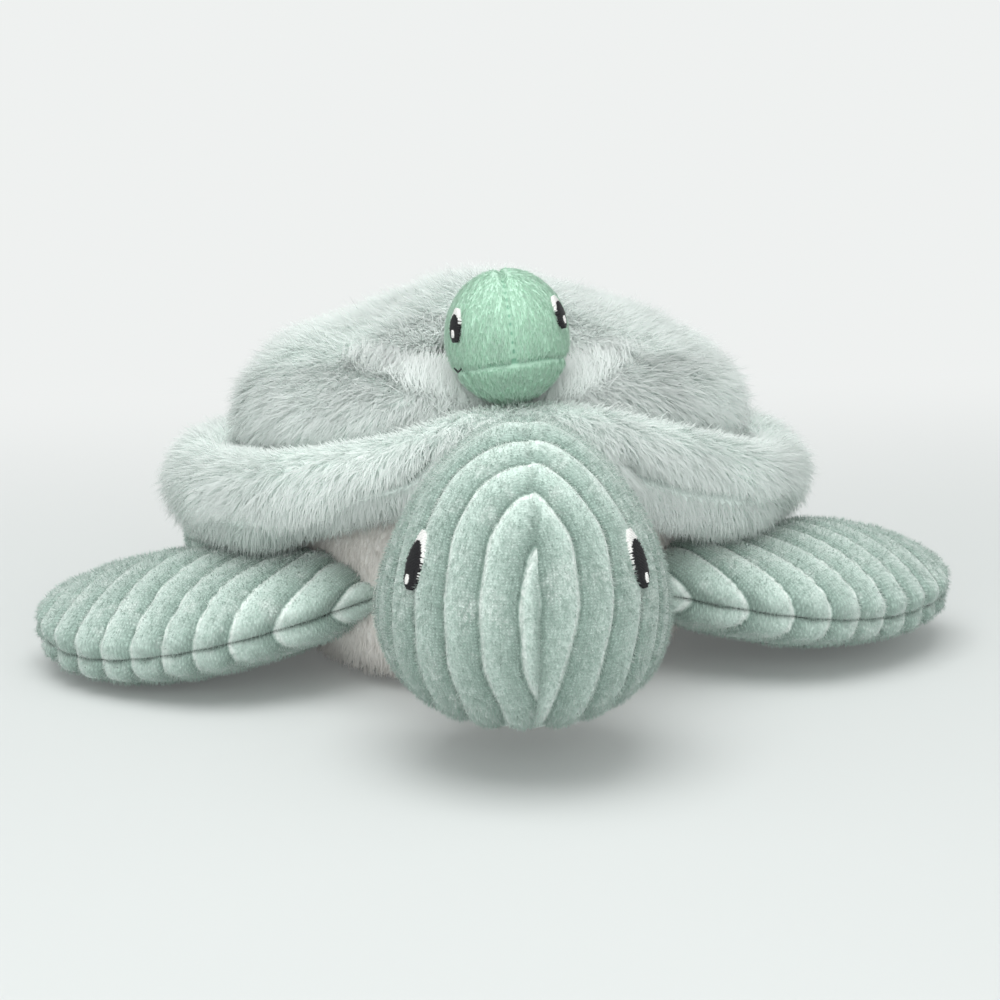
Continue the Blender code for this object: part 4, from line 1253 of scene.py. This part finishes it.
pocket = {
    "tilt": 12.0,
    "height": 0.110,
    "halfWidth": 0.042,
    "halfHeight": 0.015,
    "power": 3.0,
    "back": 0.062,
    "skin": 0.0012,
    "gap": 0.0003,
    "slitHalfWidth": 0.0425,
    "slitHalfHeight": 0.0044,
    "slitDrop": 0.0010,
    "mouthHalfWidth": 0.0255,
    "mouthHalfHeight": 0.0118,
    "liningInset": 0.0006,
    "liningReach": 0.100,
    "liningRows": 70,
    "narrowFrom": 0.030,
    "narrowOver": 0.024,
}
pocketTurn = Matrix.Translation((0, 0, pocket["height"])) @ degreesTurn(-pocket["tilt"], "X")

baby = {
    "bodyFront": 0.038,
    "bodyBack": 0.044,
    "bodyHalfWidth": 0.027,
    "bodyHalfHeight": 0.0122,
    "bodyPower": 2.3,
    "neckPlace": (0, -0.042, 0),
    "neckRadius": 0.0091,
    "restTurn": -4.0,
    "restRoll": 6.0,
    "headPile": 17000,
    "bodyPile": 13000,
    "pileInset": 0.0010,
    "seamWidth": 0.0011,
    "seamDepth": 0.0011,
    "sideSeamDepth": 0.0009,
    "lump": 0.0003,
    "lumpScale": 0.009,
    "seamRoom": 0.0009,
    "dashPitch": 0.0032,
    "flipper": {"halfChord": 0.0065, "halfThickness": 0.0035, "rootThickness": 0.0028,
                "lead": 0.006, "gap": 0.0004},
    "front": {"rootShare": 0.556, "bend": (0.0140, -0.002), "tip": (0.0160, 0.016)},
    "rear": {"rootShare": -0.556, "bend": (0.0100, 0.0055), "tip": (0.0160, 0.007)},
    "mouthCorner": (-0.0192, -0.0086),
    "mouthStrokes": [(-0.0010, 0.0010), (0.0003, -0.0008), (0.0015, 0.0003)],
    "mouthThread": 0.00036,
}
babyHead = {
    "centre": (0, -0.0700, 0.0070),
    "halfWidth": 0.0225,
    "frontDepth": 0.026,
    "backDepth": 0.024,
    "rise": 0.0250,
    "drop": 0.0235,
    "risePower": 2.1,
    "dropPower": 2.1,
    "chinLift": -24.0,
    "gussetTurn": 62.0,
    "clothRoll": -12.0,
}
babyEyes = {
    "turn": 57.0,
    "margin": 0.0004,
    "lean": 0.0,
    "height": 0.0059,
    "whiteWide": 0.0027,
    "whiteHigh": 0.0052,
    "whiteDrop": -0.0008,
    "pupilWide": 0.0027,
    "pupilHigh": 0.0047,
    "pupilDrop": 0.0011,
    "glintWide": 0.0008,
    "glintHigh": 0.0013,
    "glintDrop": 0.0030,
    "stitch": 0.00040,
    "thread": 0.0005,
    "raise": 0.0002,
}
babySlack = (pocket["halfHeight"] - pocket["skin"] - pocket["gap"] * 2 - baby["bodyHalfHeight"])
babyTurn = pocketTurn @ Matrix.Translation((0, 0, -babySlack))
babyHeadTurn = (
    babyTurn
    @ aboutPlace(baby["neckPlace"],
                 degreesTurn(baby["restTurn"], "Z") @ degreesTurn(baby["restRoll"], "Y"))
    @ aboutPlace(babyHead["centre"], degreesTurn(babyHead["clothRoll"], "Y")))
babyChinLift = math.radians(babyHead["chinLift"])

mintPile = {"segments": 2, "length": 0.0023, "width": 0.00030, "lift": 0.42, "liftSpread": 0.18,
            "swirlScale": 0.012, "swirl": 0.35, "stray": 0.22, "droop": 0.25, "lay": 0.1,
            "press": 0.12, "crimp": 0.05, "clump": 0.35, "clumpShare": 0.06,
            "clumpReach": 0.0007, "softNormal": 0.65}


def babySeamDistance(roots):
    # room to the seam round the chin
    height = (roots[:, 2] - babyHead["centre"][2]) - babyHead["drop"] * math.sin(babyChinLift)
    return np.abs(height) - baby["seamRoom"]


def growMint(name, body, matrix, parts, lean, look, seed):
    roots, ways = joinParts(parts)
    placed, placedWays = placedRoots(roots, ways, matrix)
    flow = turned(roots + np.array(lean), matrix) - placed
    ownedBy(growPile(name, placed, placedWays, flow, look, mintStrands, seed), body, "mint")


def makeBabyHeadPanel(side, word):
    lift, turn = gridOf(np.linspace(babyChinLift, quarterTurn, 80),
                        side * np.linspace(0, math.pi, 90))
    points = eggPoints(babyHead, lift, turn, baby["pileInset"])
    across = rowLengths(points, 1)
    toBack = across[:, -1:] - across
    upward = rowLengths(points, 0)
    width = baby["seamWidth"]
    seam = bell(across, width) + 0.8 * bell(toBack, width) + bell(upward, width)
    seam = np.minimum(seam, 1)
    flat = nearEyes(lift, turn, babyEyes, babyHead)
    lumps = baby["lump"] * softNoise(points, baby["lumpScale"], 61) * (1 - flat)
    height = -baby["seamDepth"] * seam + lumps
    moved = raised(points, height, False, babyHead["centre"])
    dashes = 0.75 + 0.25 * np.sign(np.sin(upward / baby["dashPitch"] * 2 * math.pi))
    piece = gridPiece("babyHeadPanel" + word.capitalize(), moved, mintCloth, babyHead["centre"],
                      babyHeadTurn, lastPole=True,
                      values={"seamPlace": seam * np.where(across < 0.004, dashes, 1)})
    filling = ("baby_head_filling",) if word == "left" else ()
    ownedBy(piece, "baby_head", "mint", "baby_head_panel_" + word, *filling, fill=0.85)
    roots, ways = scatterRoots(moved, False, baby["headPile"] // 2,
                               np.random.default_rng(610 + side), babyHead["centre"])
    away = np.minimum(np.abs(roots[:, 0]) - baby["seamRoom"], babySeamDistance(roots))
    ahead = roots - np.array(babyHead["centre"])
    rootTurn = np.arctan2(ahead[:, 0], -ahead[:, 1])
    rootLift = np.arcsin(np.clip(ahead[:, 2] / babyHead["rise"], -1, 1))
    kept = (away > 0) & (nearEyes(rootLift, rootTurn, babyEyes, babyHead) < 0.55)
    return roots[kept], ways[kept]


def makeBabyChin():
    lift, turn = gridOf(np.linspace(-quarterTurn, babyChinLift, 46), ring(120))
    points = eggPoints(babyHead, lift, turn, baby["pileInset"])
    edge = rowLengths(points, 0)
    edge = edge[-1:] - edge
    # the chin's seam goes down at both sides of the throat
    first = math.radians(babyHead["gussetTurn"])
    gusset = np.minimum(np.abs(turn - first), np.abs(2 * math.pi - turn - first))
    gusset = gusset * babyHead["halfWidth"] * np.cos(lift)
    seam = np.minimum(bell(edge, baby["seamWidth"]) + bell(gusset, 0.0010), 1)
    lumps = baby["lump"] * softNoise(points, baby["lumpScale"], 62)
    height = -baby["seamDepth"] * seam + lumps
    moved = raised(points, height, True, babyHead["centre"])
    chin = gridPiece("babyChinPanel", moved, mintCloth, babyHead["centre"], babyHeadTurn,
                     closed=True, firstPole=True, values={"seamPlace": seam})
    ownedBy(chin, "baby_head", "mint", "baby_chin_panel", fill=0.85)
    roots, ways = scatterRoots(moved[4:], True, baby["headPile"] // 3, np.random.default_rng(620),
                               babyHead["centre"])
    kept = babySeamDistance(roots) > 0
    return roots[kept], ways[kept]


def makeBabyHead():
    parts = [makeBabyHeadPanel(*side) for side in sides]
    parts.append(makeBabyChin())
    growMint("babyHeadPile", "baby_head", babyHeadTurn, parts, (0, 0.3, -1.0), mintPile, 621)


def threadTube(name, path, radius, material):
    # a round stitch of thread that follows a few points
    way = unit(np.gradient(path, axis=0))
    side = unit(np.cross(way, np.array((0.13, 0.2, 1.0))))
    third = np.cross(way, side)
    angles = ring(10)
    ends = np.sin(np.linspace(0.12, math.pi - 0.12, len(path))) ** 0.35
    circle = (side[:, None] * np.cos(angles)[None, :, None]
              + third[:, None] * np.sin(angles)[None, :, None])
    points = path[:, None] + circle * (radius * ends)[:, None, None]
    points[0] = path[0]
    points[-1] = path[-1]
    return gridPiece(name, points, material, path.mean(axis=0), closed=True, firstPole=True,
                     lastPole=True)


def makeBabyMouth():
    # a small tick of two stitches
    strokes = np.array(baby["mouthStrokes"]) + np.array(baby["mouthCorner"])
    shares = np.linspace(0, 2, 15)
    sideways, high = [np.interp(shares, (0, 1, 2), line) for line in strokes.T]
    lift = np.arcsin(high / babyHead["drop"])
    turn = np.arcsin(sideways / (babyHead["halfWidth"] * np.cos(lift)))
    path = turned(eggPoints(babyHead, lift, turn, -0.0002), babyHeadTurn)
    tube = threadTube("babyMouthStitch", path, baby["mouthThread"], blackThread)
    ownedBy(tube, "baby_head", "black_thread", "baby_mouth_stitch")


def babyBodyPoints(along, angle, inset=0.0):
    share = np.abs(np.cos(along * quarterTurn))
    reach = np.sign(along) * np.abs(np.sin(along * quarterTurn)) ** (2 / baby["bodyPower"])
    width = share ** (2 / baby["bodyPower"])
    length = np.where(along > 0, baby["bodyFront"], baby["bodyBack"]) - inset
    return np.stack([(baby["bodyHalfWidth"] - inset) * width * np.cos(angle), -length * reach,
                     (baby["bodyHalfHeight"] - inset) * width * np.sin(angle)], -1)


def makeBabyBody():
    alongs = np.sin(np.linspace(-quarterTurn, quarterTurn, 80))
    random = np.random.default_rng(630)
    middle = (0, 0, 0)
    parts = []
    for half, word, nodes in ((0, "Shell", ("baby_shell_panel", "baby_body_filling")),
                              (1, "Belly", ("baby_belly_panel",))):
        along, angle = gridOf(alongs, math.pi * (half + np.linspace(0, 1, 70)))
        points = babyBodyPoints(along, angle, baby["pileInset"])
        across = rowLengths(points, 1)
        seam = bell(np.minimum(across, across[:, -1:] - across), baby["seamWidth"])
        lumps = baby["lump"] * softNoise(points, baby["lumpScale"], 63 + half)
        height = -baby["sideSeamDepth"] * seam + lumps
        moved = raised(points, height, False, middle)
        piece = gridPiece("baby" + word + "Panel", moved, mintCloth, middle, babyTurn,
                          firstPole=True, lastPole=True, values={"seamPlace": seam})
        ownedBy(piece, "baby", "mint", *nodes, fill=0.7)
        parts.append(scatterRoots(moved[2:-2], False, baby["bodyPile"] // 2, random, middle))
    growMint("babyBodyPile", "baby", babyTurn, parts, (0, 1.0, -0.1),
             dict(mintPile, length=0.0019), 631)


def makeBabyNeck():
    ways = ballWays(31, 48)
    centre = np.array(baby["neckPlace"])
    points = centre + ways * baby["neckRadius"]
    lumps = baby["lump"] * softNoise(points, 0.004, 65)
    points = points + unit(points - centre) * lumps[..., None]
    neck = gridPiece("babyNeckRoll", points, mintCloth, centre, babyTurn, closed=True,
                     firstPole=True, lastPole=True,
                     values={"seamPlace": np.zeros(points.shape[:2])})
    ownedBy(neck, "baby", "mint", "baby_neck", fill=0.7)


def makeBabyFlipper(name, node, side, own):
    look = baby["flipper"]
    wall = babyBodyPoints(np.array(own["rootShare"]), np.array(0.0))
    length = baby["bodyFront"] if own["rootShare"] > 0 else baby["bodyBack"]
    outward = unit(np.array((wall[0] / baby["bodyHalfWidth"] ** 2, wall[1] / length ** 2, 0)))
    root = wall + outward * look["gap"]
    curve = [point * np.array((side, 1, 1)) for point in (
        root, root + outward * look["lead"], root + np.array((*own["bend"], 0)),
        root + np.array((*own["tip"], 0)))]
    along, angle = gridOf(0.5 - 0.5 * np.cos(np.linspace(0, math.pi, 40)), ring(48))
    chord, thick = leafSection(along, curve, look)[:2]
    seam = bell(np.minimum(np.abs(np.sin(angle)), 1), 0.22)
    thick = thick * (1 - 0.12 * seam)
    across = bezierAcross(curve, along)
    surface = (bezierAt(curve, along)
               + across * (chord * np.cos(angle) * (1 - 0.05 * seam))[..., None]
               + up * (thick * np.sin(angle))[..., None])
    piece = gridPiece(name, surface, mintCloth, bezierAt(curve, np.array(0.5)), babyTurn,
                      closed=True, firstPole=True, lastPole=True,
                      values={"seamPlace": seam * 0.7})
    ownedBy(piece, node, "mint", node, fill=0.6)


makeBabyHead()
makeEyes("baby", babyHead, babyEyes, babyHeadTurn, "baby_head", "baby_")
makeBabyMouth()
makeBabyBody()
makeBabyNeck()
for end in ("front", "rear"):
    for side, word in sides:
        makeBabyFlipper("baby" + end.capitalize() + "Flipper" + word.capitalize(),
                        "baby_" + end + "_flipper_" + word, side, baby[end])
print("baby turtle made")


# Shell: a fur dome with a pocket, and a stuffed fur roll round it

dome = {
    "shift": 0.003,
    "halfWidth": 0.102,
    "halfLength": 0.091,
    "centreY": 0.017,
    "middle": (0, 0.017, 0.09),
    "base": 0.0591,
    "baseShare": 0.80,
    "waist": 0.088,
    "rise": 0.042,
    "power": 2.3,
    "humpRise": 0.012,
    "humpHalfWidth": 0.034,
    "humpHalfLength": 0.075,
    "inset": 0.0050,
    "lump": 0.0030,
    "lumpScales": (0.040, 0.018),
    "lipDepth": 0.0016,
    "pileCount": 90000,
    "pileTone": 0.66,
    "pileFall": 0.55,
    "shortest": 0.30,
    "creaseRoom": 0.002,
    "creaseOver": 0.012,
    "shade": 0.62,
    "shadeMiddle": 1.6,
    "shadeWidth": 1.3,
    "frontEnd": 0.004,
    "lipReach": 3.2,
    "lipTries": 60000,
    "lipCount": 9000,
    "lipShadeTone": 0.30,
    "lipRoom": 0.0030,
    "hiddenInset": 0.012,
    "hiddenAbove": 0.06,
}
rim = {
    "shift": 0.0035,
    "topLift": 0.0085,
    "topLiftTurn": 28.0,
    "hang": 0.0034,
    "hangTurn": 38.0,
    "hangWidth": 20.0,
    "foldTurns": [-76, -68, -52, -48, -38, -30, -22, -16, 16, 20, 25, 32, 50, 68],
    "foldAngles": [-12, -15, -24, -42, -39, -12, 0, 24, 18, 0, -5, -12, -15, -15],
    "foldDepth": 0.0095,
    "foldWidth": 0.17,
    "halfWidth": 0.106,
    "halfLength": 0.095,
    "centreY": 0.017,
    "sideHeight": 0.061,
    "frontHeight": 0.0865,
    "radius": 0.0195,
    "frontRadius": 0.017,
    "archPower": 2.0,
    "inset": 0.0044,
    "lump": 0.0024,
    "lumpScales": (0.038, 0.016),
    "reach": 165.0,
    "pileCount": 110000,
    "pileTone": 0.66,
    "pileFall": 1.0,
    "innerShort": 0.60,
    "innerFrom": 50,
    "innerOver": 55,
    "foldShort": 0.65,
    "foldStart": 12,
    "foldRise": 8,
    "foldEnd": 70,
    "foldFade": 14,
}
furPile = {"segments": 2, "length": 0.0088, "width": 0.00040, "lift": 0.80, "liftSpread": 0.20,
           "swirlScale": 0.026, "swirl": 0.45, "stray": 0.45, "droop": 0.08, "lay": 0.05,
           "press": 0.05, "crimp": 0.09, "clump": 0.40, "clumpShare": 0.07,
           "clumpReach": 0.0026, "softNormal": 0.95}
lipPile = dict(furPile, length=0.0104, lift=0.55, swirl=0.3)


def domeHeight(across, along, cap, inset):
    # cap is 1 at the top of the dome and 0 at its waist
    fade = np.exp(-(across / dome["humpHalfWidth"]) ** 2
                  - (along / dome["humpHalfLength"]) ** 4)
    return dome["waist"] + (dome["rise"] - inset) * cap + dome["humpRise"] * fade * cap


def domePoints(step, turn, inset):
    # steps 0 to 1 climb from the base to the waist, and 1 to 2 close over the top
    low = np.minimum(step, 1)
    sideShare = 1 - (1 - dome["baseShare"]) * (1 - low) ** 2
    sideHeight = dome["base"] + (dome["waist"] - dome["base"]) * low
    share, cap = superellipse((np.clip(step, 1, 2) - 1) * quarterTurn, dome["power"])
    share = np.where(step <= 1, sideShare, share)
    across = (dome["halfWidth"] - inset) * share * np.sin(turn)
    along = dome["centreY"] - (dome["halfLength"] - inset) * share * np.cos(turn)
    height = np.where(step <= 1, sideHeight, domeHeight(across, along, cap, inset))
    return np.stack([across + dome["shift"], along, height], -1)


def slitShare(points):
    # under 1 inside the slit that the baby's body comes out of
    local = turned(points, pocketTurn.inverted())
    high = np.abs(local[..., 2] + pocket["slitDrop"])
    slot = ((local[..., 0] / pocket["slitHalfWidth"]) ** 4
            + (high / pocket["slitHalfHeight"]) ** 2)
    mouth = ((local[..., 0] / pocket["mouthHalfWidth"]) ** 2
             + (high / pocket["mouthHalfHeight"]) ** 2)
    return np.where(local[..., 1] < 0, np.minimum(slot, mouth), 9.0)


def outsideSlit(points):
    return slitShare(points) > 1


def nearSlit(points):
    share = slitShare(points)
    return (share > 1) & (share < dome["lipReach"])


def belowSlit(points):
    return turned(points, pocketTurn.inverted())[:, 2] < -pocket["slitDrop"]


def clearOfBaby(points, room):
    moved = pushFromEgg(babyHead, babyHeadTurn, room)(points) - points
    return np.linalg.norm(moved, axis=-1) < 1e-6


def rimFrame(turn):
    lift = np.maximum(np.cos(turn), 0) ** rim["archPower"]
    radius = rim["radius"] + (rim["frontRadius"] - rim["radius"]) * lift
    height = rim["sideHeight"] + (rim["frontHeight"] - rim["sideHeight"]) * lift
    centre = np.stack([rim["halfWidth"] * np.sin(turn),
                       rim["centreY"] - rim["halfLength"] * np.cos(turn), height], -1)
    outward = unit(np.stack([np.sin(turn) / rim["halfWidth"], -np.cos(turn) / rim["halfLength"],
                             np.zeros_like(turn)], -1))
    return centre, outward, radius


def rimPoints(turn, angle, inset):
    centre, outward, radius = rimFrame(turn)
    reach = (radius - inset)[..., None]
    away = np.where(turn > math.pi, 2 * math.pi - turn, turn)
    extra = rim["topLift"] * bell(away, math.radians(rim["topLiftTurn"]))
    points = (centre + outward * reach * np.cos(angle)[..., None]
              + up * reach * np.sin(angle)[..., None])
    points[..., 0] += rim["shift"]
    points[..., 2] += extra * smoothStep(np.sin(angle) + 0.3)
    hang = rim["hang"] * bell(turn - math.radians(rim["hangTurn"]),
                              math.radians(rim["hangWidth"]), 4)
    points[..., 2] -= hang * smoothStep(0.1 - np.sin(angle))
    return points


def rimFold(turn, angle):
    # a soft fold along the front of the roll on each side
    turn = np.degrees(np.where(turn > math.pi, turn - 2 * math.pi, turn))
    middle = np.radians(np.interp(turn, rim["foldTurns"], rim["foldAngles"]))
    along = (smoothStep((np.abs(turn) - rim["foldStart"]) / rim["foldRise"])
             * smoothStep((rim["foldEnd"] - np.abs(turn)) / rim["foldFade"]))
    return bell(angle - middle, rim["foldWidth"]) * along


def besideDome(points):
    # false well inside the dome, where no pile shows
    inset = dome["hiddenInset"]
    share = np.sqrt((points[:, 0] / (dome["halfWidth"] - inset)) ** 2
                    + ((points[:, 1] - dome["centreY"]) / (dome["halfLength"] - inset)) ** 2)
    return (share >= 1) | (points[:, 2] <= dome["hiddenAbove"])


def furFlow(roots, fall):
    # outward over the shell, and down
    return np.stack([roots[:, 0] / dome["halfWidth"] ** 2 * 0.01,
                     (roots[:, 1] - dome["centreY"]) / dome["halfLength"] ** 2 * 0.01,
                     np.full(len(roots), -fall)], -1)


pushFromBabyHead = pushFromEgg(babyHead, babyHeadTurn, 0.0008)
pushFromHead = pushFromEgg(head, headTurn, 0.0012)


def splitPile(name, roots, ways, flow, parts, seed, avoid, tones, lengths):
    for word, chosen in parts:
        pile = growPile(name + word, roots[chosen], ways[chosen], flow[chosen], furPile,
                        furStrands, seed, avoid, tones[chosen], lengths[chosen])
        ownedBy(pile, "body", "fur")


def makeDome():
    steps = np.concatenate([np.linspace(0.25, 1, 18), np.linspace(1, 2, 120)[1:]])
    points = domePoints(*gridOf(steps, ring(260)), dome["inset"])
    broad, small = dome["lumpScales"]
    lumps = (dome["lump"] * softNoise(points, broad, 71)
             + dome["lump"] * 0.4 * softNoise(points, small, 72))
    lip = bell(np.sqrt(slitShare(points)) - 1, 0.5) * dome["lipDepth"]
    points = raised(points, lumps - lip, True, dome["middle"])
    points = pushFromEgg(babyHead, babyHeadTurn, 0.0016)(points)
    base = gridPiece("shellDome", points, furBacking, dome["middle"], closed=True,
                     lastPole=True, keep=outsideSlit)
    ownedBy(base, "body", "fur", "shell_dome", "shell_filling", "shell_base", fill=0.8)
    random = np.random.default_rng(701)
    growDomePile(points, random)
    growPocketLips(points, random)


def growDomePile(points, random):
    roots, ways = scatterRoots(points[8:], True, dome["pileCount"], random, dome["middle"],
                               outsideSlit)
    clear = clearOfBaby(roots, 0.0005)
    roots = roots[clear]
    ways = ways[clear]
    flow = furFlow(roots, dome["pileFall"])
    below = belowSlit(roots)
    share = slitShare(roots)
    flow[(share < 1.8) & below] = np.array((0, -0.25, 1.0))
    front = roots[:, 1] < dome["frontEnd"]
    # shorter pile where the dome meets the roll, so that the crease stays clear
    turn = np.arctan2(roots[:, 0] / dome["halfWidth"],
                      (dome["centreY"] - roots[:, 1]) / dome["halfLength"])
    centre, _, radius = rimFrame(turn)
    room = np.linalg.norm(roots - centre, axis=-1) - radius
    crease = smoothStep((room + dome["creaseRoom"]) / dome["creaseOver"])
    lengths = dome["shortest"] + (1 - dome["shortest"]) * crease
    # the front below the slit lies in the shade of the baby
    shade = bell(np.sqrt(share) - dome["shadeMiddle"], dome["shadeWidth"]) * below
    tones = dome["pileTone"] - dome["shade"] * shade
    splitPile("shellDomePile", roots, ways, flow, (("Front", front), ("Back", ~front)), 702,
              [pushFromBabyHead], tones, lengths)


def growPocketLips(points, random):
    # the lips of the pocket, where longer pile closes over the slit
    roots, ways = scatterRoots(points[40:], True, dome["lipTries"], random, dome["middle"],
                               nearSlit)
    chosen = np.nonzero(nearSlit(roots) & clearOfBaby(roots, dome["lipRoom"]))[0]
    chosen = chosen[:dome["lipCount"]]
    roots, ways = roots[chosen], ways[chosen]
    flow = np.where(belowSlit(roots)[:, None], np.array((0, -0.2, 1.0)),
                    np.array((0, -0.5, -1.0)))
    # painted shade: the lips' pile is darker where it hangs over the slit
    lips = growPile("pocketLipPile", roots, ways, flow, lipPile, furStrands, 703,
                    [pushFromBabyHead], np.full(len(roots), dome["lipShadeTone"]))
    ownedBy(lips, "body", "fur")


def makeRim():
    reach = math.radians(rim["reach"])
    angle, turn = gridOf(np.linspace(-reach, reach, 86), ring(280))
    points = rimPoints(turn, angle, rim["inset"])
    centre = rimFrame(turn)[0]
    normals = gridNormals(points, True, centre)[0]
    broad, small = rim["lumpScales"]
    lumps = (rim["lump"] * softNoise(points, broad, 73)
             + rim["lump"] * 0.5 * softNoise(points, small, 74))
    fold = rimFold(turn, angle)
    points = points + normals * (lumps - rim["foldDepth"] * fold)[..., None]
    points = pushFromHead(points)
    points = pushFromEgg(babyHead, babyHeadTurn, 0.0012)(points)
    base = gridPiece("shellRim", points, furBacking, centre, closed=True)
    ownedBy(base, "body", "fur", "shell_rim", "rim_filling", fill=0.85)
    roots, ways, bend, sunk = scatterRoots(
        points, True, rim["pileCount"], np.random.default_rng(711), centre, besideDome,
        (angle, fold), normals)
    left = roots[:, 0] > 0
    inner = smoothStep((np.degrees(bend) - rim["innerFrom"]) / rim["innerOver"])
    lengths = (1 - rim["innerShort"] * inner) * (1 - rim["foldShort"] * sunk)
    splitPile("shellRimPile", roots, ways, furFlow(roots, rim["pileFall"]),
              (("Left", left), ("Right", ~left)), 712,
              [pushFromBabyHead, pushFromHead, liftOverFlippers(0.0006)],
              np.full(len(roots), rim["pileTone"]), lengths)


def makePocketLining():
    # a bag that narrows to the slit and ends at the dome's cloth
    angle = ring(96)
    across, high = superellipse(angle, pocket["power"])
    bagX = (pocket["halfWidth"] - pocket["liningInset"]) * across
    bagZ = (pocket["halfHeight"] - pocket["liningInset"]) * high
    slitX = pocket["slitHalfWidth"] * np.cos(angle) * 0.999
    slot = pocket["slitHalfHeight"] * np.sqrt(
        np.clip(1 - (slitX / pocket["slitHalfWidth"]) ** 4, 0, 1))
    mouth = pocket["mouthHalfHeight"] * np.sqrt(
        np.clip(1 - (slitX / pocket["mouthHalfWidth"]) ** 2, 0, 1))
    slitZ = np.sign(np.sin(angle)) * np.maximum(slot, mouth) - pocket["slitDrop"]
    # how far forward each line of the slit stays under the dome
    back = 0.001 - pocket["back"]
    depths = np.linspace(back, pocket["liningReach"], pocket["liningRows"])
    forward = gridOf(depths, angle)[0]
    line = turned(np.stack([slitX + 0 * forward, -forward, slitZ + 0 * forward], -1), pocketTurn)
    line = line - np.array((dome["shift"], 0, 0))
    share = np.sqrt((line[..., 0] / (dome["halfWidth"] - dome["inset"])) ** 2
                    + ((line[..., 1] - dome["centreY"])
                       / (dome["halfLength"] - dome["inset"])) ** 2)
    cap = np.clip(1 - np.minimum(share, 1) ** dome["power"], 0, 1) ** (1 / dome["power"])
    top = domeHeight(line[..., 0], line[..., 1], cap, dome["inset"])
    within = (line[..., 2] < top) & (share < 1)
    limit = depths[len(depths) - 1 - np.argmax(within[::-1], axis=0)]
    stretch = np.linspace(0, 1, len(depths))[:, None]
    forward = back + (limit + pocket["back"] - 0.0005) * stretch
    near = smoothStep((forward - (limit - pocket["narrowFrom"])) / pocket["narrowOver"])
    points = np.stack([bagX * (1 - near) + slitX * near, -forward,
                       bagZ * (1 - near) + slitZ * near], -1)
    end = np.tile(np.array((0, pocket["back"], 0)), (1, len(angle), 1))
    lining = gridPiece("pocketLining", np.concatenate([end, points]), liningCloth, (0, 0, 0),
                       pocketTurn, closed=True, firstPole=True)
    ownedBy(lining, "body", "lining", "pocket_lining", fill=0.2)


makeDome()
makeRim()
makePocketLining()
print("shell made")


# Table, light and camera

def makeTableLook():
    material, tree, shader = startMaterial("paleTable", studio["table"], 0.9, 0.0, white)
    shader.inputs["Specular IOR Level"].default_value = 0.1
    grain = rampNode(tree, noiseNode(tree, 3.0),
                     [(0.3, studio["table"]),
                      (0.7, tuple(value * 1.012 for value in studio["table"]))])
    tree.links.new(grain, shader.inputs["Base Color"])
    # far from the turtle the table passes into an even pale backdrop
    place = addNode(tree, "TexCoord", {}).outputs["Object"]
    split = addNode(tree, "SeparateXYZ", {0: place})
    reach = addNode(tree, "VectorMath", {0: place}, operation="LENGTH")
    fades = [rangeNode(tree, {"From Min": first, "From Max": last,
                              "To Min": studio["shadowGlow"], "Value": source}, "SMOOTHSTEP")
             for source, (first, last) in ((split.outputs["Y"], studio["fadeBehind"]),
                                           (reach.outputs["Value"], studio["fadeRound"]))]
    path = addNode(tree, "LightPath", {}).outputs
    seen = mathNode(tree, "ADD", path["Is Camera Ray"], path["Is Glossy Ray"])
    seen = mathNode(tree, "ADD", seen, path["Is Transmission Ray"])
    seen = mathNode(tree, "MULTIPLY", seen, mathNode(tree, "MAXIMUM", *fades))
    glow = addNode(tree, "Emission", {"Color": (*studio["backdrop"], 1), "Strength": 1.0})
    mixSurface(tree, seen, shader, glow)
    return material


def makeStage():
    bend, radius = studio["sweepBend"], studio["sweepRadius"]
    profile = [(studio["sweepFront"], 0.0), (bend, 0.0)]
    for angle in np.linspace(0, quarterTurn, 17)[1:]:
        profile.append((bend + radius * math.sin(angle), radius - radius * math.cos(angle)))
    profile.append((bend + radius, studio["sweepTop"]))
    points = np.array([[(across, along, high) for along, high in profile]
                       for across in np.linspace(-5, 5, 9)])
    gridPiece("paleTable", points, makeTableLook(), (0, 0, -5))


def makeLight():
    world = bpy.data.worlds.new("softRoom")
    world.use_nodes = True
    tree = world.node_tree
    background = tree.nodes["Background"]
    setInputs(tree, background, {"Color": (*studio["worldColour"], 1),
                                 "Strength": studio["worldLevel"]})
    seen = addNode(tree, "Background", {"Color": (*studio["backdrop"], 1), "Strength": 1.0})
    path = addNode(tree, "LightPath", {})
    mixSurface(tree, path.outputs["Is Camera Ray"], background, seen, "World Output")
    bpy.context.scene.world = world
    for name, look in studio["lamps"].items():
        lamp = bpy.data.lights.new(name, "AREA")
        lamp.shape = "SQUARE"
        lamp.size = look["size"]
        lamp.energy = look["power"]
        held = bpy.data.objects.new(name, lamp)
        bpy.context.scene.collection.objects.link(held)
        held.location = Vector(look["place"])
        toward = held.location - Vector(studio["lampAim"])
        held.rotation_euler = toward.to_track_quat("Z", "Y").to_euler()


def makeCamera():
    azimuth = math.radians(studio["azimuth"])
    elevation = math.radians(studio["elevation"])
    toward = Vector((math.sin(azimuth) * math.cos(elevation),
                     -math.cos(azimuth) * math.cos(elevation), math.sin(elevation)))
    data = bpy.data.cameras.new("photoCamera")
    data.lens = studio["lens"]
    data.sensor_width = 36
    camera = bpy.data.objects.new("photoCamera", data)
    bpy.context.scene.collection.objects.link(camera)
    camera.location = Vector(studio["aim"]) + toward * studio["distance"]
    camera.rotation_euler = toward.to_track_quat("Z", "Y").to_euler()
    bpy.context.scene.camera = camera


makeStage()
makeLight()
makeCamera()
bpy.context.scene.view_settings.view_transform = "Standard"
print("studio set")
